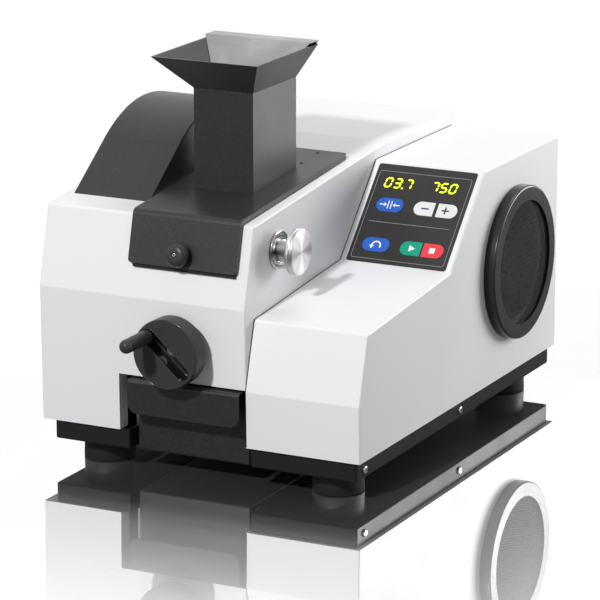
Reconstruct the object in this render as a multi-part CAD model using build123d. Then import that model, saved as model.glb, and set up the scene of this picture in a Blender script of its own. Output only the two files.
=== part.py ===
from build123d import *
from math import atan2, cos, degrees, hypot, pi, radians, sin, sqrt
import os

# A bench jaw mill: a heavy crusher under a white sheet housing, a control housing at its right,
# a lift-up feed hopper on top, a gap handwheel and a collecting drawer in front.
# Working axes: x to the right, y to the back, z up.  x = 0 is the left face, y = 0 the front bend
# and z = 0 the lower edge of the white housings.  All sizes are in millimetres.

# ------------------------------------------------------------------ overall
CRUSHER_W = 264.3            # crusher housing, left to right
CONTROL_W = 141.7            # control housing, left to right
DEPTH = 560.0                # front bend to the rear panel's outer face
SHEET = 2.0                  # housing sheet
PANEL_T = 1.5                # rear panel sheet
BEND_R = 4.0                 # outer radius of the housing bends
EDGE_R = 2.2                 # outer radius of the housing side edges
CREASE_R = 1.0               # radius in the hollow bend at the foot of the key panel
FLANGE = 18.0                # return flange under the housings
FIT = 0.3                    # clearance between moving neighbours
AXIS_MARGIN = 83.3           # centre of the chamber to the right wall of its housing
RIGHT_X = CRUSHER_W + CONTROL_W
AXIS_X = CRUSHER_W - AXIS_MARGIN            # centre of chamber, spindle, hopper and lid knob

# crusher housing outline in y, z
CRUSHER_TOE = 2.5            # how far the front foot stands back
CRUSHER_BEND_Z = 159.1       # height of the front bend
CRUSHER_EDGE_Y = 22.8        # upper front edge
CRUSHER_EDGE_Z = 251.2
CRUSHER_CREASE_Y = 367.8     # where the top turns level
CRUSHER_H = 281.5

# control housing outline in y, z
CONTROL_TOE = 1.6
CONTROL_BEND_Z = 65.9
CONTROL_EDGE_Y = 22.1
CONTROL_EDGE_Z = 144.7
SLOPE_Y = 242.0              # foot of the key panel's slope
SLOPE_Z = 164.2
SLOPE_TOP_Y = 338.6          # head of the slope
CONTROL_H = 265.0

# base tray and feet
TRAY_X0, TRAY_X1 = 14.0, RIGHT_X - 6.0
TRAY_Y0, TRAY_Y1 = 6.0, DEPTH - 4.0
TRAY_H = 23.0
TRAY_T = 2.5
TRAY_R = 4.0
TRAY_CORNER_R = 8.0          # lower corner of the front flange beside the drawer
FOOT_R = 30.0
FOOT_H = 27.0
FOOT_X = (TRAY_X0 + 46.0, TRAY_X1 - 45.0)
FOOT_Y = (TRAY_Y0 + 47.0, TRAY_Y1 - 46.0)
FOOT_BORE_R = 9.0
FOOT_BORE_H = 8.0
FOOT_BOLT_R = 4.0
FOOT_HEAD_R = 7.0
FOOT_HEAD_H = 5.0
SIDE_SCREW_Y = (TRAY_Y0 + 20.5, (TRAY_Y0 + TRAY_Y1) / 2 + 5.0)
SIDE_SCREW_Z = -12.8
SIDE_SCREW_R = 4.6
SIDE_SCREW_H = 2.6
SIDE_SHANK_R = 2.5
HEX_R = 1.7                  # socket in the small screws

# drawer bay
BAY_X0 = AXIS_X - 79.0       # left edge of the bay in the white housing
BAY_TOP = 67.0
BAY_RETURN = 21.0            # depth of the bay's return flange
BAY_GAP = 10.0               # tray edge to the left edge of the bay
TUNNEL_T = 3.5
TUNNEL_Y0 = 30.0
TUNNEL_Y1 = 212.0
TUNNEL_TOP = 72.5
DISCHARGE = (AXIS_X - 35.0, AXIS_X + 35.0, 100.0, 178.0)   # hole under the crushing gap: x0, x1, y0, y1

# collecting drawer
DRAWER_X0, DRAWER_X1 = BAY_X0 + 16.0, CRUSHER_W - 4.3
DRAWER_Y0, DRAWER_Y1 = 18.0, 207.0
DRAWER_Z0 = -25.5
DRAWER_SIDE_Z = 56.3         # top of the side walls
DRAWER_T = 1.5
RUNNER_W = 4.6               # side flange that rides on the rail
RAIL_H = 8.5
LIP_Y = -8.0                 # front face of the pull plate
LIP_T = 2.0
LIP_Z0 = 24.6
LIP_Z1 = 64.5
LIP_CORNER_R = 12.0
LIP_BEND_R = 4.0

# crusher
CHAMBER_W = 73.0             # between the side plates
SIDE_T = 14.0
SIDE_Y0 = 44.0
SIDE_FOOT_Y = 216.0          # behind the drawer tunnel the plates reach the tray
SIDE_Y1 = 348.0
SIDE_TOP = 238.0
SIDE_SHIM = 0.05             # thin shim between the side plates and the tray
WEAR_T = 4.0
WEAR_Y0, WEAR_Z0, WEAR_Z1 = 90.0, 78.0, 232.0
JAW_CLEAR = 0.35
JAW_PLATE_T = 12.0
JAW_FOOT_Z = 80.0
FIXED_FOOT_Y = 118.0         # front jaw face at its foot and head
FIXED_HEAD_Y = 112.0
FIXED_HEAD_Z = 230.0
GAP = 3.7                    # crushing gap at rest
MOVING_HEAD_Y = 182.0
MOVING_HEAD_Z = 226.0
CARRIER_Y0 = 75.0
CARRIER_STEP_Y = 84.0
SHAFT_Y, SHAFT_Z = 240.0, 165.0
THROW = 1.0                  # eccentricity of the crankshaft
JOURNAL_R = 22.0
MAIN_R = 18.0
RUN_FIT = 0.04               # radial running clearance of shafts
HUB_R = 42.0
BEARING_R = 36.0
BEARING_FLANGE_R = 44.0
BEARING_FLANGE_T = 14.0
ARM_T = 22.0                 # casting behind the moving jaw plate
ARM_Z0 = 77.0
TOGGLE_Z = 104.0
TOGGLE_T = 10.0
TOGGLE_GAP = 2 * THROW + 0.5
REAR_Y0, REAR_Y1, REAR_Z0, REAR_Z1 = 218.0, 256.0, 62.0, 116.0
ROD_Z = 84.0
ROD_R = 5.0
ROD_HOLE_R = ROD_R + THROW + 1.5
ROD_END_Y = 318.0
SPRING_R = 10.5
SPRING_WIRE = 1.6
SPRING_TURNS = 6
SPRING_L = 40.0
FRONT_BLOCK_Y1 = 66.0
FRONT_BLOCK_Z0, FRONT_BLOCK_Z1 = 78.0, 212.0

# flywheel drive
FLY_X0, FLY_X1 = 28.0, AXIS_X - 103.0
FLY_R = 160.0
FLY_RIM = 32.0
FLY_WEB = 10.0
FLY_HUB_R = 34.0
PULLEY_X0, PULLEY_X1 = AXIS_X - 99.0, AXIS_X - 77.0
PULLEY_R = 110.0
PULLEY_RIM = 14.0
PULLEY_WEB = 8.0
PULLEY_LIP = 3.0
BELT_T = 4.0
BELT_MARGIN = 1.8            # pulley face to the belt's edge
MOTOR_Y, MOTOR_Z = 431.0, 136.0
MOTOR_PULLEY_R = 38.0
MOTOR_X0, MOTOR_X1 = CRUSHER_W - 114.3, CRUSHER_W + 65.7
MOTOR_R = 68.0
MOTOR_WALL = 8.0
MOTOR_CAP = 12.0
MOTOR_SHAFT_R = 10.0
STATOR_BORE_R = 40.0
STATOR_L = 110.0
ROTOR_GAP = 1.5
MOTOR_FOOT = (MOTOR_X0 + 40.0, MOTOR_X1 - 30.0, MOTOR_Y - 36.0, MOTOR_Y + 36.0)
MOTOR_WINDOW_R = 78.0
FAN_X0, FAN_X1 = MOTOR_X1 + 15.0, MOTOR_X1 + 42.0
FAN_R = 66.0
FAN_HUB_R = 22.0
FAN_BLADES = 9
FAN_BLADE_T = 2.5

# flywheel guard
GUARD_X0, GUARD_X1 = 10.0, PULLEY_X1 + 5.0
GUARD_R = 175.0
GUARD_FRONT_Y = 64.0
GUARD_RAMP = 11.4            # foot of the rear ramp behind the arc's own foot
GUARD_BACK_Y = SHAFT_Y + sqrt(GUARD_R ** 2 - (CRUSHER_H - SHAFT_Z) ** 2) + GUARD_RAMP
GUARD_T = 2.0

# fan ring on the right
RING_R = 93.0
RING_BORE_R = 75.0
RING_T = 14.0
RING_EDGE_R = 2.5
FAN_HOLE_R = 72.0
MESH_R = 79.0
MESH_T = 1.5
MESH_RECESS = 2.5
MESH_PITCH = 10.0
MESH_HOLE_R = 3.4

# lid and hopper
LID_X0, LID_X1 = AXIS_X - 66.5, CRUSHER_W - 12.8
LID_H = 7.0                  # top of the lid above the housing
LID_LIFT = 1.2               # lower edge of the skirts above the housing
LID_T = 2.0
LID_FRONT = 55.9             # length of the front flange along the slope
LID_BACK = 266.8             # length of the lid along the top
LID_BEND_R = 8.0
LID_CORNER_R = 5.0
LID_HOLE_R = 2.3
LID_HOLE_S = (212.5, 255.0)  # two small holes, along the top from the front edge
LID_HOLE_X = AXIS_X + 37.0
WELL = (AXIS_X - 57.0, CRUSHER_W - 20.0, 40.0, 262.0)      # opening under the lid: x0, x1, y0, y1
GASKET_W = 6.0
GASKET_MARGIN = 2.5
HOPPER_W = 76.0
HOPPER_Y0, HOPPER_Y1 = 110.0, 218.5
HOPPER_T = 2.0
NECK_Z = 382.0
RIM_Z = 418.0
RIM_X0, RIM_X1 = AXIS_X - 81.5, AXIS_X + 54.5
RIM_Y0, RIM_Y1 = 88.0, 243.0
BAFFLE_T = 1.5
BAFFLE_TOP_Z = 422.0
BAFFLE_LIP_Y = 224.0
BAFFLE_END_Y = 163.0
BAFFLE_FALL = 30.0           # degrees below level
BAFFLE_HOOK = 14.0
BAFFLE_GAP = 0.5
HINGE_S = 265.5              # lid hinge axis along the top from the front edge
HINGE_H = 2.6                # and above the housing
HINGE_R = 2.3
HINGE_PIN_R = 1.2
HINGE_X = (AXIS_X - 51.0, AXIS_X - 36.0, AXIS_X + 36.0, AXIS_X + 51.0)
KNOB_S = 41.0                # lid knob down the front slope
KNOB_R = 14.0
KNOB_T = 12.0
KNOB_DOME_R = 8.4            # round front edge of the lid knob
KNOB_BORE_R = 3.2            # counterbore for its screw
KNOB_BORE = 2.2
KNOB_SCREW_R = 2.3
KNOB_STEM_R = 5.0
KNOB_STEM = 6.0

# lid lock
LOCK_Y, LOCK_Z = 82.0, 212.0
LOCK_BOLT_R = 5.0
LOCK_LUG_X0, LOCK_LUG_X1 = CRUSHER_W - 30.3, CRUSHER_W - 24.3
LOCK_LUG_W = 22.0
LOCK_LUG_DROP = 12.0         # lug's lower edge below the bolt's axis
LOCK_WINDOW = 12.0           # square window in the lug
LOCK_TIP_GAP = 0.5           # bolt's tip to the lug while the lid is free
LOCK_RING_R = 22.5
LOCK_RING_T = 3.2
LOCK_NECK_R = 12.4
LOCK_NECK_X0 = CRUSHER_W - 14.3
LOCK_SLEEVE_X0 = CRUSHER_W - 18.3
LOCK_SLEEVE_R = 16.0
LOCK_DISH_R = 14.6           # dish in the flange around the neck
LOCK_DISH_T = 2.2
LOCK_DISC_R = 26.5
LOCK_DISC_X0, LOCK_DISC_X1 = CRUSHER_W + 20.2, CRUSHER_W + 30.0
LOCK_PIN_R = 2.2
LOCK_PIN_DROP = 19.0
LOCK_PIN_L = 8.5
LOCK_TRAVEL = 8.0

# gap handwheel and its folding crank
WHEEL_Z = 107.5
WHEEL_R = 40.5
WHEEL_Y0, WHEEL_Y1 = -34.5, -11.0
WHEEL_EDGE_R = 1.6
BOSS_R = 15.0
BOSS_GAP = 0.5
SLOT_ANGLE = 138.0           # degrees, from +x towards +z
SLOT_R = 8.8
SLOT_HALF = 28.6             # wheel centre to the centre of each slot end
SLOT_DEPTH = 16.7
SLOT_FLOOR_R = 5.0           # hollow between the slot's walls and floor
PIVOT_Y = -26.2
PIVOT_PIN_R = 2.0
KNUCKLE_R = 5.4
KNUCKLE_W = 8.0
NECK_R = 5.4
GRIP_R = 8.0
GRIP_Y0, GRIP_Y1 = -91.0, -36.8
GRIP_CORE_R = 3.2
SPINDLE_R = 8.0
SPINDLE_Y1 = 92.0
SLEEVE_R = 12.0
SLEEVE_Y0 = -0.5             # front end of the spindle's sleeve
SLEEVE_FLANGE_R = 18.0
HUB_BOLT_R = 6.0
HUB_BOLT_H = 5.0
HUB_BOLT_SINK = 0.4           # bolt's head below the slot's floor, clear of the folded grip

# key panel on the slope: x across, s up the slope
PANEL_X0, PANEL_X1 = CRUSHER_W + 7.7, RIGHT_X - 7.0
PANEL_S0, PANEL_S1 = 0.7, 135.0
PANEL_FOIL = 0.8
PANEL_R = 3.0
PANEL_RIM = 6.0              # how far the foil laps over its opening
KEY_W, KEY_H = 34.6, 18.6
PAIR_W = 55.4
KEY_SPLIT = (4.0, 1.8)        # gap in the split keys of the top and bottom row
KEY_COL_X = PANEL_X0 + 30.8
PAIR_COL_X = PANEL_X0 + 89.6
KEY_ROW_S = (79.9, 25.3)     # upper and lower row
KEY_RISE = 0.3
KEY_T = 2.3
KEY_TRAVEL = 0.5
WINDOW_GAP = (PANEL_X0 + 9.0, PANEL_X0 + 55.0, 100.0, 120.5)        # x0, x1, s0, s1
WINDOW_SPEED = (PANEL_X0 + 72.0, PANEL_X0 + 111.5, 100.0, 120.5)
BOARD_H = 6.4                # board below the slope
BOARD_T = 1.6
POST_R = 2.4

# rear connections
INLET_X0, INLET_X1 = CRUSHER_W + 25.7, CRUSHER_W + 99.7
INLET_Z0, INLET_Z1 = 38.0, 68.0
INLET_T = 3.0
INLET_DEEP = 22.0
SOCKET_X = INLET_X0 + 53.0
SOCKET_W, SOCKET_H, SOCKET_DEEP = 25.0, 17.0, 17.0
ROCKER_X = INLET_X0 + 19.0
ROCKER_W = 21.6
ROCKER_TIP_Z = 8.6
ROCKER_TIP_Y = 7.0
ROCKER_DIP = 1.4
ROCKER_TILT = 7.0
ROCKER_WINDOW_H = 19.8
ROCKER_PIN_R = 1.5
ROCKER_Y = DEPTH - 5.2
VENT_SLOTS = 9
VENT_PITCH = 9.0
VENT_W, VENT_SLOT_H = 90.0, 4.0
VENT_X, VENT_Z = CRUSHER_W - 132.3, 130.0
REAR_SCREW_R = 3.6
REAR_SCREW_H = 2.0

# ------------------------------------------------------------------ derived places
COVER_Y1 = DEPTH - PANEL_T
CHAMBER_X0, CHAMBER_X1 = AXIS_X - CHAMBER_W / 2, AXIS_X + CHAMBER_W / 2
JAW_X0, JAW_X1 = CHAMBER_X0 + WEAR_T + JAW_CLEAR, CHAMBER_X1 - WEAR_T - JAW_CLEAR
HOPPER_X0, HOPPER_X1 = AXIS_X - HOPPER_W / 2, AXIS_X + HOPPER_W / 2
TRAY_FLOOR = TRAY_T - TRAY_H
TUNNEL_X0 = BAY_X0 + BAY_GAP
TUNNEL_X1 = CRUSHER_W + FIT
BAY_X1 = TUNNEL_X1 + TUNNEL_T
TOP_TILT = atan2(CRUSHER_H - CRUSHER_EDGE_Z, CRUSHER_CREASE_Y - CRUSHER_EDGE_Y)
FRONT_TILT = atan2(CRUSHER_EDGE_Y, CRUSHER_EDGE_Z - CRUSHER_BEND_Z)
SLOPE_TILT = atan2(CONTROL_H - SLOPE_Z, SLOPE_TOP_Y - SLOPE_Y)
SLOT_DIR = (cos(radians(SLOT_ANGLE)), sin(radians(SLOT_ANGLE)))
PIVOT_X = AXIS_X + SLOT_HALF * SLOT_DIR[0]
PIVOT_Z = WHEEL_Z + SLOT_HALF * SLOT_DIR[1]
MOVING_FOOT_Y = FIXED_FOOT_Y + GAP
SLOPE = Plane(origin=(0, SLOPE_Y, SLOPE_Z), x_dir=(1, 0, 0), z_dir=(0, -sin(SLOPE_TILT), cos(SLOPE_TILT)))


# ------------------------------------------------------------------ shapes used again and again
def slab_x(x0, x1, face):
    """Extrude a y, z face from x0 to x1."""
    return extrude(Plane.YZ.offset(x0) * face, amount=x1 - x0, dir=(1, 0, 0))


def slab_y(y0, y1, face):
    """Extrude an x, z face from y0 to y1."""
    return extrude(Plane.XZ.offset(-y0) * face, amount=y1 - y0, dir=(0, 1, 0))


def slab_z(z0, z1, face):
    """Extrude an x, y face from z0 to z1."""
    return extrude(Plane.XY.offset(z0) * face, amount=z1 - z0, dir=(0, 0, 1))


def block(x0, x1, y0, y1, z0, z1):
    return Pos(x0, y0, z0) * Box(x1 - x0, y1 - y0, z1 - z0, align=(Align.MIN, Align.MIN, Align.MIN))


def disc(radius, u, v):
    return Pos(u, v) * Circle(radius)


def ring(outer, inner, u, v):
    return disc(outer, u, v) - disc(inner, u, v)


def polygon(*points):
    return Polygon(*points, align=None)


def plate(x0, x1, y0, y1, radius):
    """Rectangle with rounded corners."""
    return Pos((x0 + x1) / 2, (y0 + y1) / 2) * RectangleRounded(x1 - x0, y1 - y0, radius)


def group(shapes):
    """Keep several solids side by side in one node."""
    return Compound([solid for shape in shapes for solid in shape.solids()])


def top_at(s, h):
    """y, z of a point s along the crusher housing's top from its front edge, h above it."""
    return (CRUSHER_EDGE_Y + s * cos(TOP_TILT) - h * sin(TOP_TILT),
            CRUSHER_EDGE_Z + s * sin(TOP_TILT) + h * cos(TOP_TILT))


def front_at(s, h):
    """y, z of a point s down the crusher housing's front slope from its upper edge, h in front."""
    return (CRUSHER_EDGE_Y - s * sin(FRONT_TILT) - h * cos(FRONT_TILT),
            CRUSHER_EDGE_Z - s * cos(FRONT_TILT) + h * sin(FRONT_TILT))


def corner_at(h):
    """y, z where the planes h above the top and h in front of the slope meet."""
    half = (pi / 2 - FRONT_TILT - TOP_TILT) / 2
    lean = TOP_TILT + half
    reach = h / cos(half)
    return CRUSHER_EDGE_Y - reach * sin(lean), CRUSHER_EDGE_Z + reach * cos(lean)


def top_z(y, h=0.0):
    """Height of the plane h above the crusher housing's sloping top."""
    s = (y - CRUSHER_EDGE_Y + h * sin(TOP_TILT)) / cos(TOP_TILT)
    return top_at(s, h)[1]


def crusher_outline():
    return [(CRUSHER_TOE, 0), (0, CRUSHER_BEND_Z), (CRUSHER_EDGE_Y, CRUSHER_EDGE_Z),
            (CRUSHER_CREASE_Y, CRUSHER_H), (COVER_Y1, CRUSHER_H), (COVER_Y1, 0)]


def control_outline():
    return [(CONTROL_TOE, 0), (0.1, CONTROL_BEND_Z), (CONTROL_EDGE_Y, CONTROL_EDGE_Z),
            (SLOPE_Y, SLOPE_Z), (SLOPE_TOP_Y, CONTROL_H), (COVER_Y1, CONTROL_H), (COVER_Y1, 0)]


def housing(outline, x0, x1, left_wall):
    """Folded sheet cover: open at the back, with a return flange under it."""
    face = polygon(*outline)
    shell = slab_x(x0, x1, face)
    bends = [e for e in shell.edges().filter_by(Axis.X)
             if e.center().Z > 1 and e.center().Y < COVER_Y1 - 1]
    hollow_bends = [e for e in bends if hypot(e.center().Y - SLOPE_Y, e.center().Z - SLOPE_Z) < 1]
    shell = fillet([e for e in bends if e not in hollow_bends], BEND_R)
    if hollow_bends:
        hollow_bends = [e for e in shell.edges().filter_by(Axis.X)
                        if hypot(e.center().Y - SLOPE_Y, e.center().Z - SLOPE_Z) < 1]
        shell = fillet(hollow_bends, CREASE_R)
    sides = (x0, x1) if left_wall else (x1,)
    rims = [e for e in shell.edges() if any(abs(v.X - x) < 1e-3 for x in sides for v in [e.center()])
            and e.center().Z > 1 and e.center().Y < COVER_Y1 - 1e-3]
    shell = fillet(rims, EDGE_R)
    inner_x0 = x0 + SHEET if left_wall else x0 - 1
    inside = offset(face, -SHEET, kind=Kind.INTERSECTION)
    hollow = slab_x(inner_x0, x1 - SHEET, inside)
    hollow += Pos(0, SHEET + 1, 0) * hollow
    under_x0 = x0 + FLANGE if left_wall else x0 - 1
    hollow += block(under_x0, x1 - FLANGE, outline[0][0] + FLANGE, COVER_Y1 - FLANGE, -1, SHEET + 1)
    return shell - hollow


# ------------------------------------------------------------------ housings and base
def base_tray():
    tray = block(TRAY_X0, TRAY_X1, TRAY_Y0, TRAY_Y1, -TRAY_H, 0)
    tray = fillet(tray.edges().filter_by(Axis.Z), TRAY_R)
    tray = fillet(tray.faces().sort_by(Axis.Z)[0].edges(), TRAY_R / 2)
    tray -= block(TRAY_X0 + TRAY_T, TRAY_X1 - TRAY_T, TRAY_Y0 + TRAY_T, TRAY_Y1 - TRAY_T, TRAY_FLOOR, 1)
    tray -= block(TUNNEL_X0, BAY_X1, 0, TUNNEL_Y0 - 2, -TRAY_H - 1, 1)
    tray -= block(TUNNEL_X0, TUNNEL_X1, TUNNEL_Y0 - 3, TUNNEL_Y1 + 2, -TRAY_H - 1, 1)
    for x0, x1 in ((TUNNEL_X0 - TRAY_T, TUNNEL_X0), (BAY_X1, BAY_X1 + TRAY_T)):
        tray += block(x0, x1, TRAY_Y0 + 1, TUNNEL_Y0 - 2, -TRAY_H, 0)
    round_x, round_z = BAY_X1 + TRAY_CORNER_R, TRAY_CORNER_R - TRAY_H
    corner = block(BAY_X1 - 1, round_x, 0, TRAY_Y0 + TRAY_T, -TRAY_H - 1, round_z)
    tray -= corner - slab_y(-1, TRAY_Y0 + TRAY_T + 1, disc(TRAY_CORNER_R, round_x, round_z))
    for x in FOOT_X:
        for y in FOOT_Y:
            tray -= slab_z(-TRAY_H - 1, TRAY_FLOOR + 1, disc(FOOT_BOLT_R + RUN_FIT, x, y))
    for y in SIDE_SCREW_Y:
        for x in (TRAY_X0, TRAY_X1):
            tray -= slab_x(x - TRAY_T - 1, x + TRAY_T + 1, disc(SIDE_SHANK_R + RUN_FIT, y, SIDE_SCREW_Z))
    return tray


def rubber_feet():
    foot = slab_z(-FOOT_H, 0, disc(FOOT_R, 0, 0))
    foot = chamfer(foot.edges().sort_by(Axis.Z)[0], 1.2)
    foot -= slab_z(-FOOT_H - 1, 1, disc(FOOT_BOLT_R + RUN_FIT, 0, 0))
    foot -= slab_z(-FOOT_H - 1, FOOT_BORE_H - FOOT_H, disc(FOOT_BORE_R, 0, 0))
    return group([Pos(x, y, -TRAY_H) * foot for x in FOOT_X for y in FOOT_Y])


def base_screws():
    """Bolts through the feet and button-head screws in the tray's sides."""
    seat = FOOT_BORE_H - FOOT_H - TRAY_H
    bolt = slab_z(seat - FOOT_HEAD_H, seat, RegularPolygon(FOOT_HEAD_R, 6))
    bolt += slab_z(seat - 1, TRAY_FLOOR + FOOT_HEAD_H, disc(FOOT_BOLT_R, 0, 0))
    bolt += slab_z(TRAY_FLOOR, TRAY_FLOOR + FOOT_HEAD_H, RegularPolygon(FOOT_HEAD_R, 6))
    bolts = [Pos(x, y, 0) * bolt for x in FOOT_X for y in FOOT_Y]
    head = slab_x(0, SIDE_SCREW_H, disc(SIDE_SCREW_R, 0, 0))
    head = fillet(head.edges().sort_by(Axis.X)[-1], SIDE_SCREW_H * 0.7)
    head -= slab_x(SIDE_SCREW_H / 3, SIDE_SCREW_H + 1, RegularPolygon(HEX_R, 6))
    head += slab_x(-2 * TRAY_T, 0.1, disc(SIDE_SHANK_R, 0, 0))
    right = [Pos(TRAY_X1, y, SIDE_SCREW_Z) * head for y in SIDE_SCREW_Y]
    left = [mirror(Pos(-TRAY_X0, y, SIDE_SCREW_Z) * head, Plane.YZ) for y in SIDE_SCREW_Y]
    return group(bolts + right + left)


def crusher_cover():
    cover = housing(crusher_outline(), 0, CRUSHER_W, True)
    # drawer bay: front wall, floor flange and the right wall down there
    cover -= block(BAY_X0, CRUSHER_W + 1, -5, BAY_RETURN, -1, BAY_TOP)
    cover -= block(TUNNEL_X0 - TUNNEL_T - FIT, CRUSHER_W + 1, BAY_RETURN - 1, TUNNEL_Y1 + 2, -1,
                   TUNNEL_TOP + FIT)
    cover += block(BAY_X0 - SHEET, BAY_X0, CRUSHER_TOE + BEND_R, BAY_RETURN, SHEET, BAY_TOP + SHEET)
    cover += block(BAY_X0 - SHEET, CRUSHER_W - SHEET, SHEET + 1, BAY_RETURN, BAY_TOP, BAY_TOP + SHEET)
    # well under the lid, slot for the flywheel, spindle and lock holes, motor window
    x0, x1, y0, y1 = WELL
    roof = CRUSHER_EDGE_Z - 4 * SHEET
    cover -= block(x0, x1, y0, y1, roof, CRUSHER_H + 1)
    cover -= block(GUARD_X0 + 2 * GUARD_T, GUARD_X1 - GUARD_T - 1.5, GUARD_FRONT_Y + 20,
                   GUARD_BACK_Y - 16, roof, CRUSHER_H + 1)
    cover -= slab_y(-5, CRUSHER_EDGE_Y, disc(SLEEVE_R + 1, AXIS_X, WHEEL_Z))
    cover -= slab_x(CRUSHER_W - SHEET - 1, CRUSHER_W + 1, disc(LOCK_SLEEVE_R + FIT, LOCK_Y, LOCK_Z))
    cover -= slab_x(CRUSHER_W - SHEET - 1, CRUSHER_W + 1, disc(MOTOR_WINDOW_R, MOTOR_Y, MOTOR_Z))
    window = MOTOR_WINDOW_R - MOTOR_R
    cover -= block(CRUSHER_W - FLANGE - 1, CRUSHER_W + 1, MOTOR_FOOT[2] - window, MOTOR_FOOT[3] + window,
                   -1, MOTOR_Z)
    return cover


def panel_window(grow, h0, h1):
    """Opening of the control housing behind the key panel, in slope coordinates."""
    rim = PANEL_RIM - grow
    face = plate(PANEL_X0 + rim, PANEL_X1 - rim, PANEL_S0 + rim, PANEL_S1 - rim, PANEL_R)
    return SLOPE * extrude(Pos(0, 0, h0) * face, amount=h1 - h0, dir=(0, 0, 1))


def control_cover():
    cover = housing(control_outline(), CRUSHER_W, RIGHT_X, False)
    cover -= panel_window(0, -2 * SHEET, SHEET)
    cover -= slab_x(RIGHT_X - SHEET - 1, RIGHT_X + 1, disc(FAN_HOLE_R, MOTOR_Y, MOTOR_Z))
    return cover


def rear_outline():
    low = -0.5
    return [(0, low), (RIGHT_X, low), (RIGHT_X, CONTROL_H), (CRUSHER_W, CONTROL_H),
            (CRUSHER_W, CRUSHER_H), (0, CRUSHER_H)]


def rear_screw_places():
    xs = (12.0, CRUSHER_W - 12.0, CRUSHER_W + 12.0, RIGHT_X - 12.0)
    return [(x, z) for x in xs for z in (14.0, CONTROL_H - 14.0)]


def rear_panel():
    panel = slab_y(COVER_Y1, DEPTH, polygon(*rear_outline()))
    upright = [e for e in panel.edges().filter_by(Axis.Y)
               if e.center().X < 1 or e.center().X > RIGHT_X - 1]
    panel = fillet(upright, EDGE_R)
    panel -= block(INLET_X0 + 3, INLET_X1 - 3, COVER_Y1 - 1, DEPTH + 1, INLET_Z0 + 3, INLET_Z1 - 3)
    for k in range(VENT_SLOTS):
        z = VENT_Z + (k - (VENT_SLOTS - 1) / 2) * VENT_PITCH
        slot = Pos(VENT_X, z) * SlotOverall(VENT_W, VENT_SLOT_H)
        panel -= slab_y(COVER_Y1 - 1, DEPTH + 1, slot)
    for x, z in rear_screw_places():
        panel -= slab_y(COVER_Y1 - 1, DEPTH + 1, disc(SIDE_SHANK_R + RUN_FIT, x, z))
    return panel


def rear_screws():
    head = slab_y(0, REAR_SCREW_H, disc(REAR_SCREW_R, 0, 0))
    head = fillet(head.edges().sort_by(Axis.Y)[-1], REAR_SCREW_H * 0.6)
    head -= slab_y(REAR_SCREW_H / 3, REAR_SCREW_H + 1, RegularPolygon(HEX_R, 6))
    head += slab_y(-2 * PANEL_T, 0.1, disc(SIDE_SHANK_R, 0, 0))
    return group([Pos(x, DEPTH, z) * head for x, z in rear_screw_places()])


def mains_inlet():
    """Flanged module with the mains socket at its right and the rocker's well at its left."""
    zc = (INLET_Z0 + INLET_Z1) / 2
    module = slab_y(DEPTH, DEPTH + INLET_T, plate(INLET_X0, INLET_X1, INLET_Z0, INLET_Z1, 3))
    module += block(INLET_X0 + 3.2, INLET_X1 - 3.2, DEPTH - INLET_DEEP, DEPTH + 0.1, INLET_Z0 + 3.2,
                    INLET_Z1 - 3.2)
    front = DEPTH + INLET_T
    module -= slab_y(front - SOCKET_DEEP, front + 1, Pos(SOCKET_X, zc) * RectangleRounded(
        SOCKET_W, SOCKET_H, 3))
    for dx, dz in ((-7, -2), (0, 2), (7, -2)):
        module += block(SOCKET_X + dx - 1, SOCKET_X + dx + 1, front - SOCKET_DEEP - 0.5, front - 5,
                        zc + dz - 2, zc + dz + 2)
    half = ROCKER_W / 2 + FIT
    module -= block(ROCKER_X - half, ROCKER_X + half, ROCKER_Y - 14, front + 1,
                    zc - ROCKER_WINDOW_H / 2, zc + ROCKER_WINDOW_H / 2)
    module -= slab_x(ROCKER_X - half - 1.2, ROCKER_X + half + 1.2,
                     disc(ROCKER_PIN_R + RUN_FIT, ROCKER_Y, zc))
    return module


def rocker_switch():
    zc = (INLET_Z0 + INLET_Z1) / 2
    face = polygon((-4, -ROCKER_TIP_Z + 2.4), (ROCKER_TIP_Y, -ROCKER_TIP_Z),
                   (ROCKER_TIP_Y - ROCKER_DIP, 0), (ROCKER_TIP_Y, ROCKER_TIP_Z),
                   (-4, ROCKER_TIP_Z - 2.4))
    half = ROCKER_W / 2
    rocker = slab_x(-half, half, Rot(0, 0, ROCKER_TILT) * face)
    rocker += slab_x(-half - 1.1, half + 1.1, Circle(ROCKER_PIN_R))
    return Pos(ROCKER_X, ROCKER_Y, zc) * rocker


def guard_outline(radius, front_y, back_y, sink):
    """Side view of the flywheel guard: two straight ramps tangent to one arc."""
    centre = Vector(SHAFT_Y, SHAFT_Z)
    front = Vector(front_y, top_z(front_y) - sink)
    back = Vector(back_y, CRUSHER_H - sink)

    def touch(point, side):
        away = point - centre
        turn = side * degrees(atan2(sqrt(away.length ** 2 - radius ** 2), radius))
        return centre + away.normalized().rotate(Axis.Z, turn) * radius

    a, b = touch(front, -1), touch(back, 1)
    arc = ThreePointArc(a, centre + Vector(0, radius), b)
    crease = Vector(CRUSHER_CREASE_Y, CRUSHER_H - sink)
    edges = [Line(front, a), arc, Line(b, back), Line(back, crease), Line(crease, front)]
    return make_face(edges)


def flywheel_guard():
    guard = slab_x(GUARD_X0, GUARD_X1, guard_outline(GUARD_R, GUARD_FRONT_Y, GUARD_BACK_Y, 0))
    rims = [e for e in guard.edges() if min(abs(e.center().X - GUARD_X0), abs(e.center().X - GUARD_X1)) < 1e-3
            and e.center().Z > CRUSHER_H + 2]
    guard = fillet(rims, 1.2)
    hollow = guard_outline(GUARD_R - GUARD_T, GUARD_FRONT_Y + 1.8 * GUARD_T, GUARD_BACK_Y - 1.8 * GUARD_T, 0)
    guard -= slab_x(GUARD_X0 + GUARD_T, GUARD_X1 - GUARD_T, hollow)
    return guard


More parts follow.
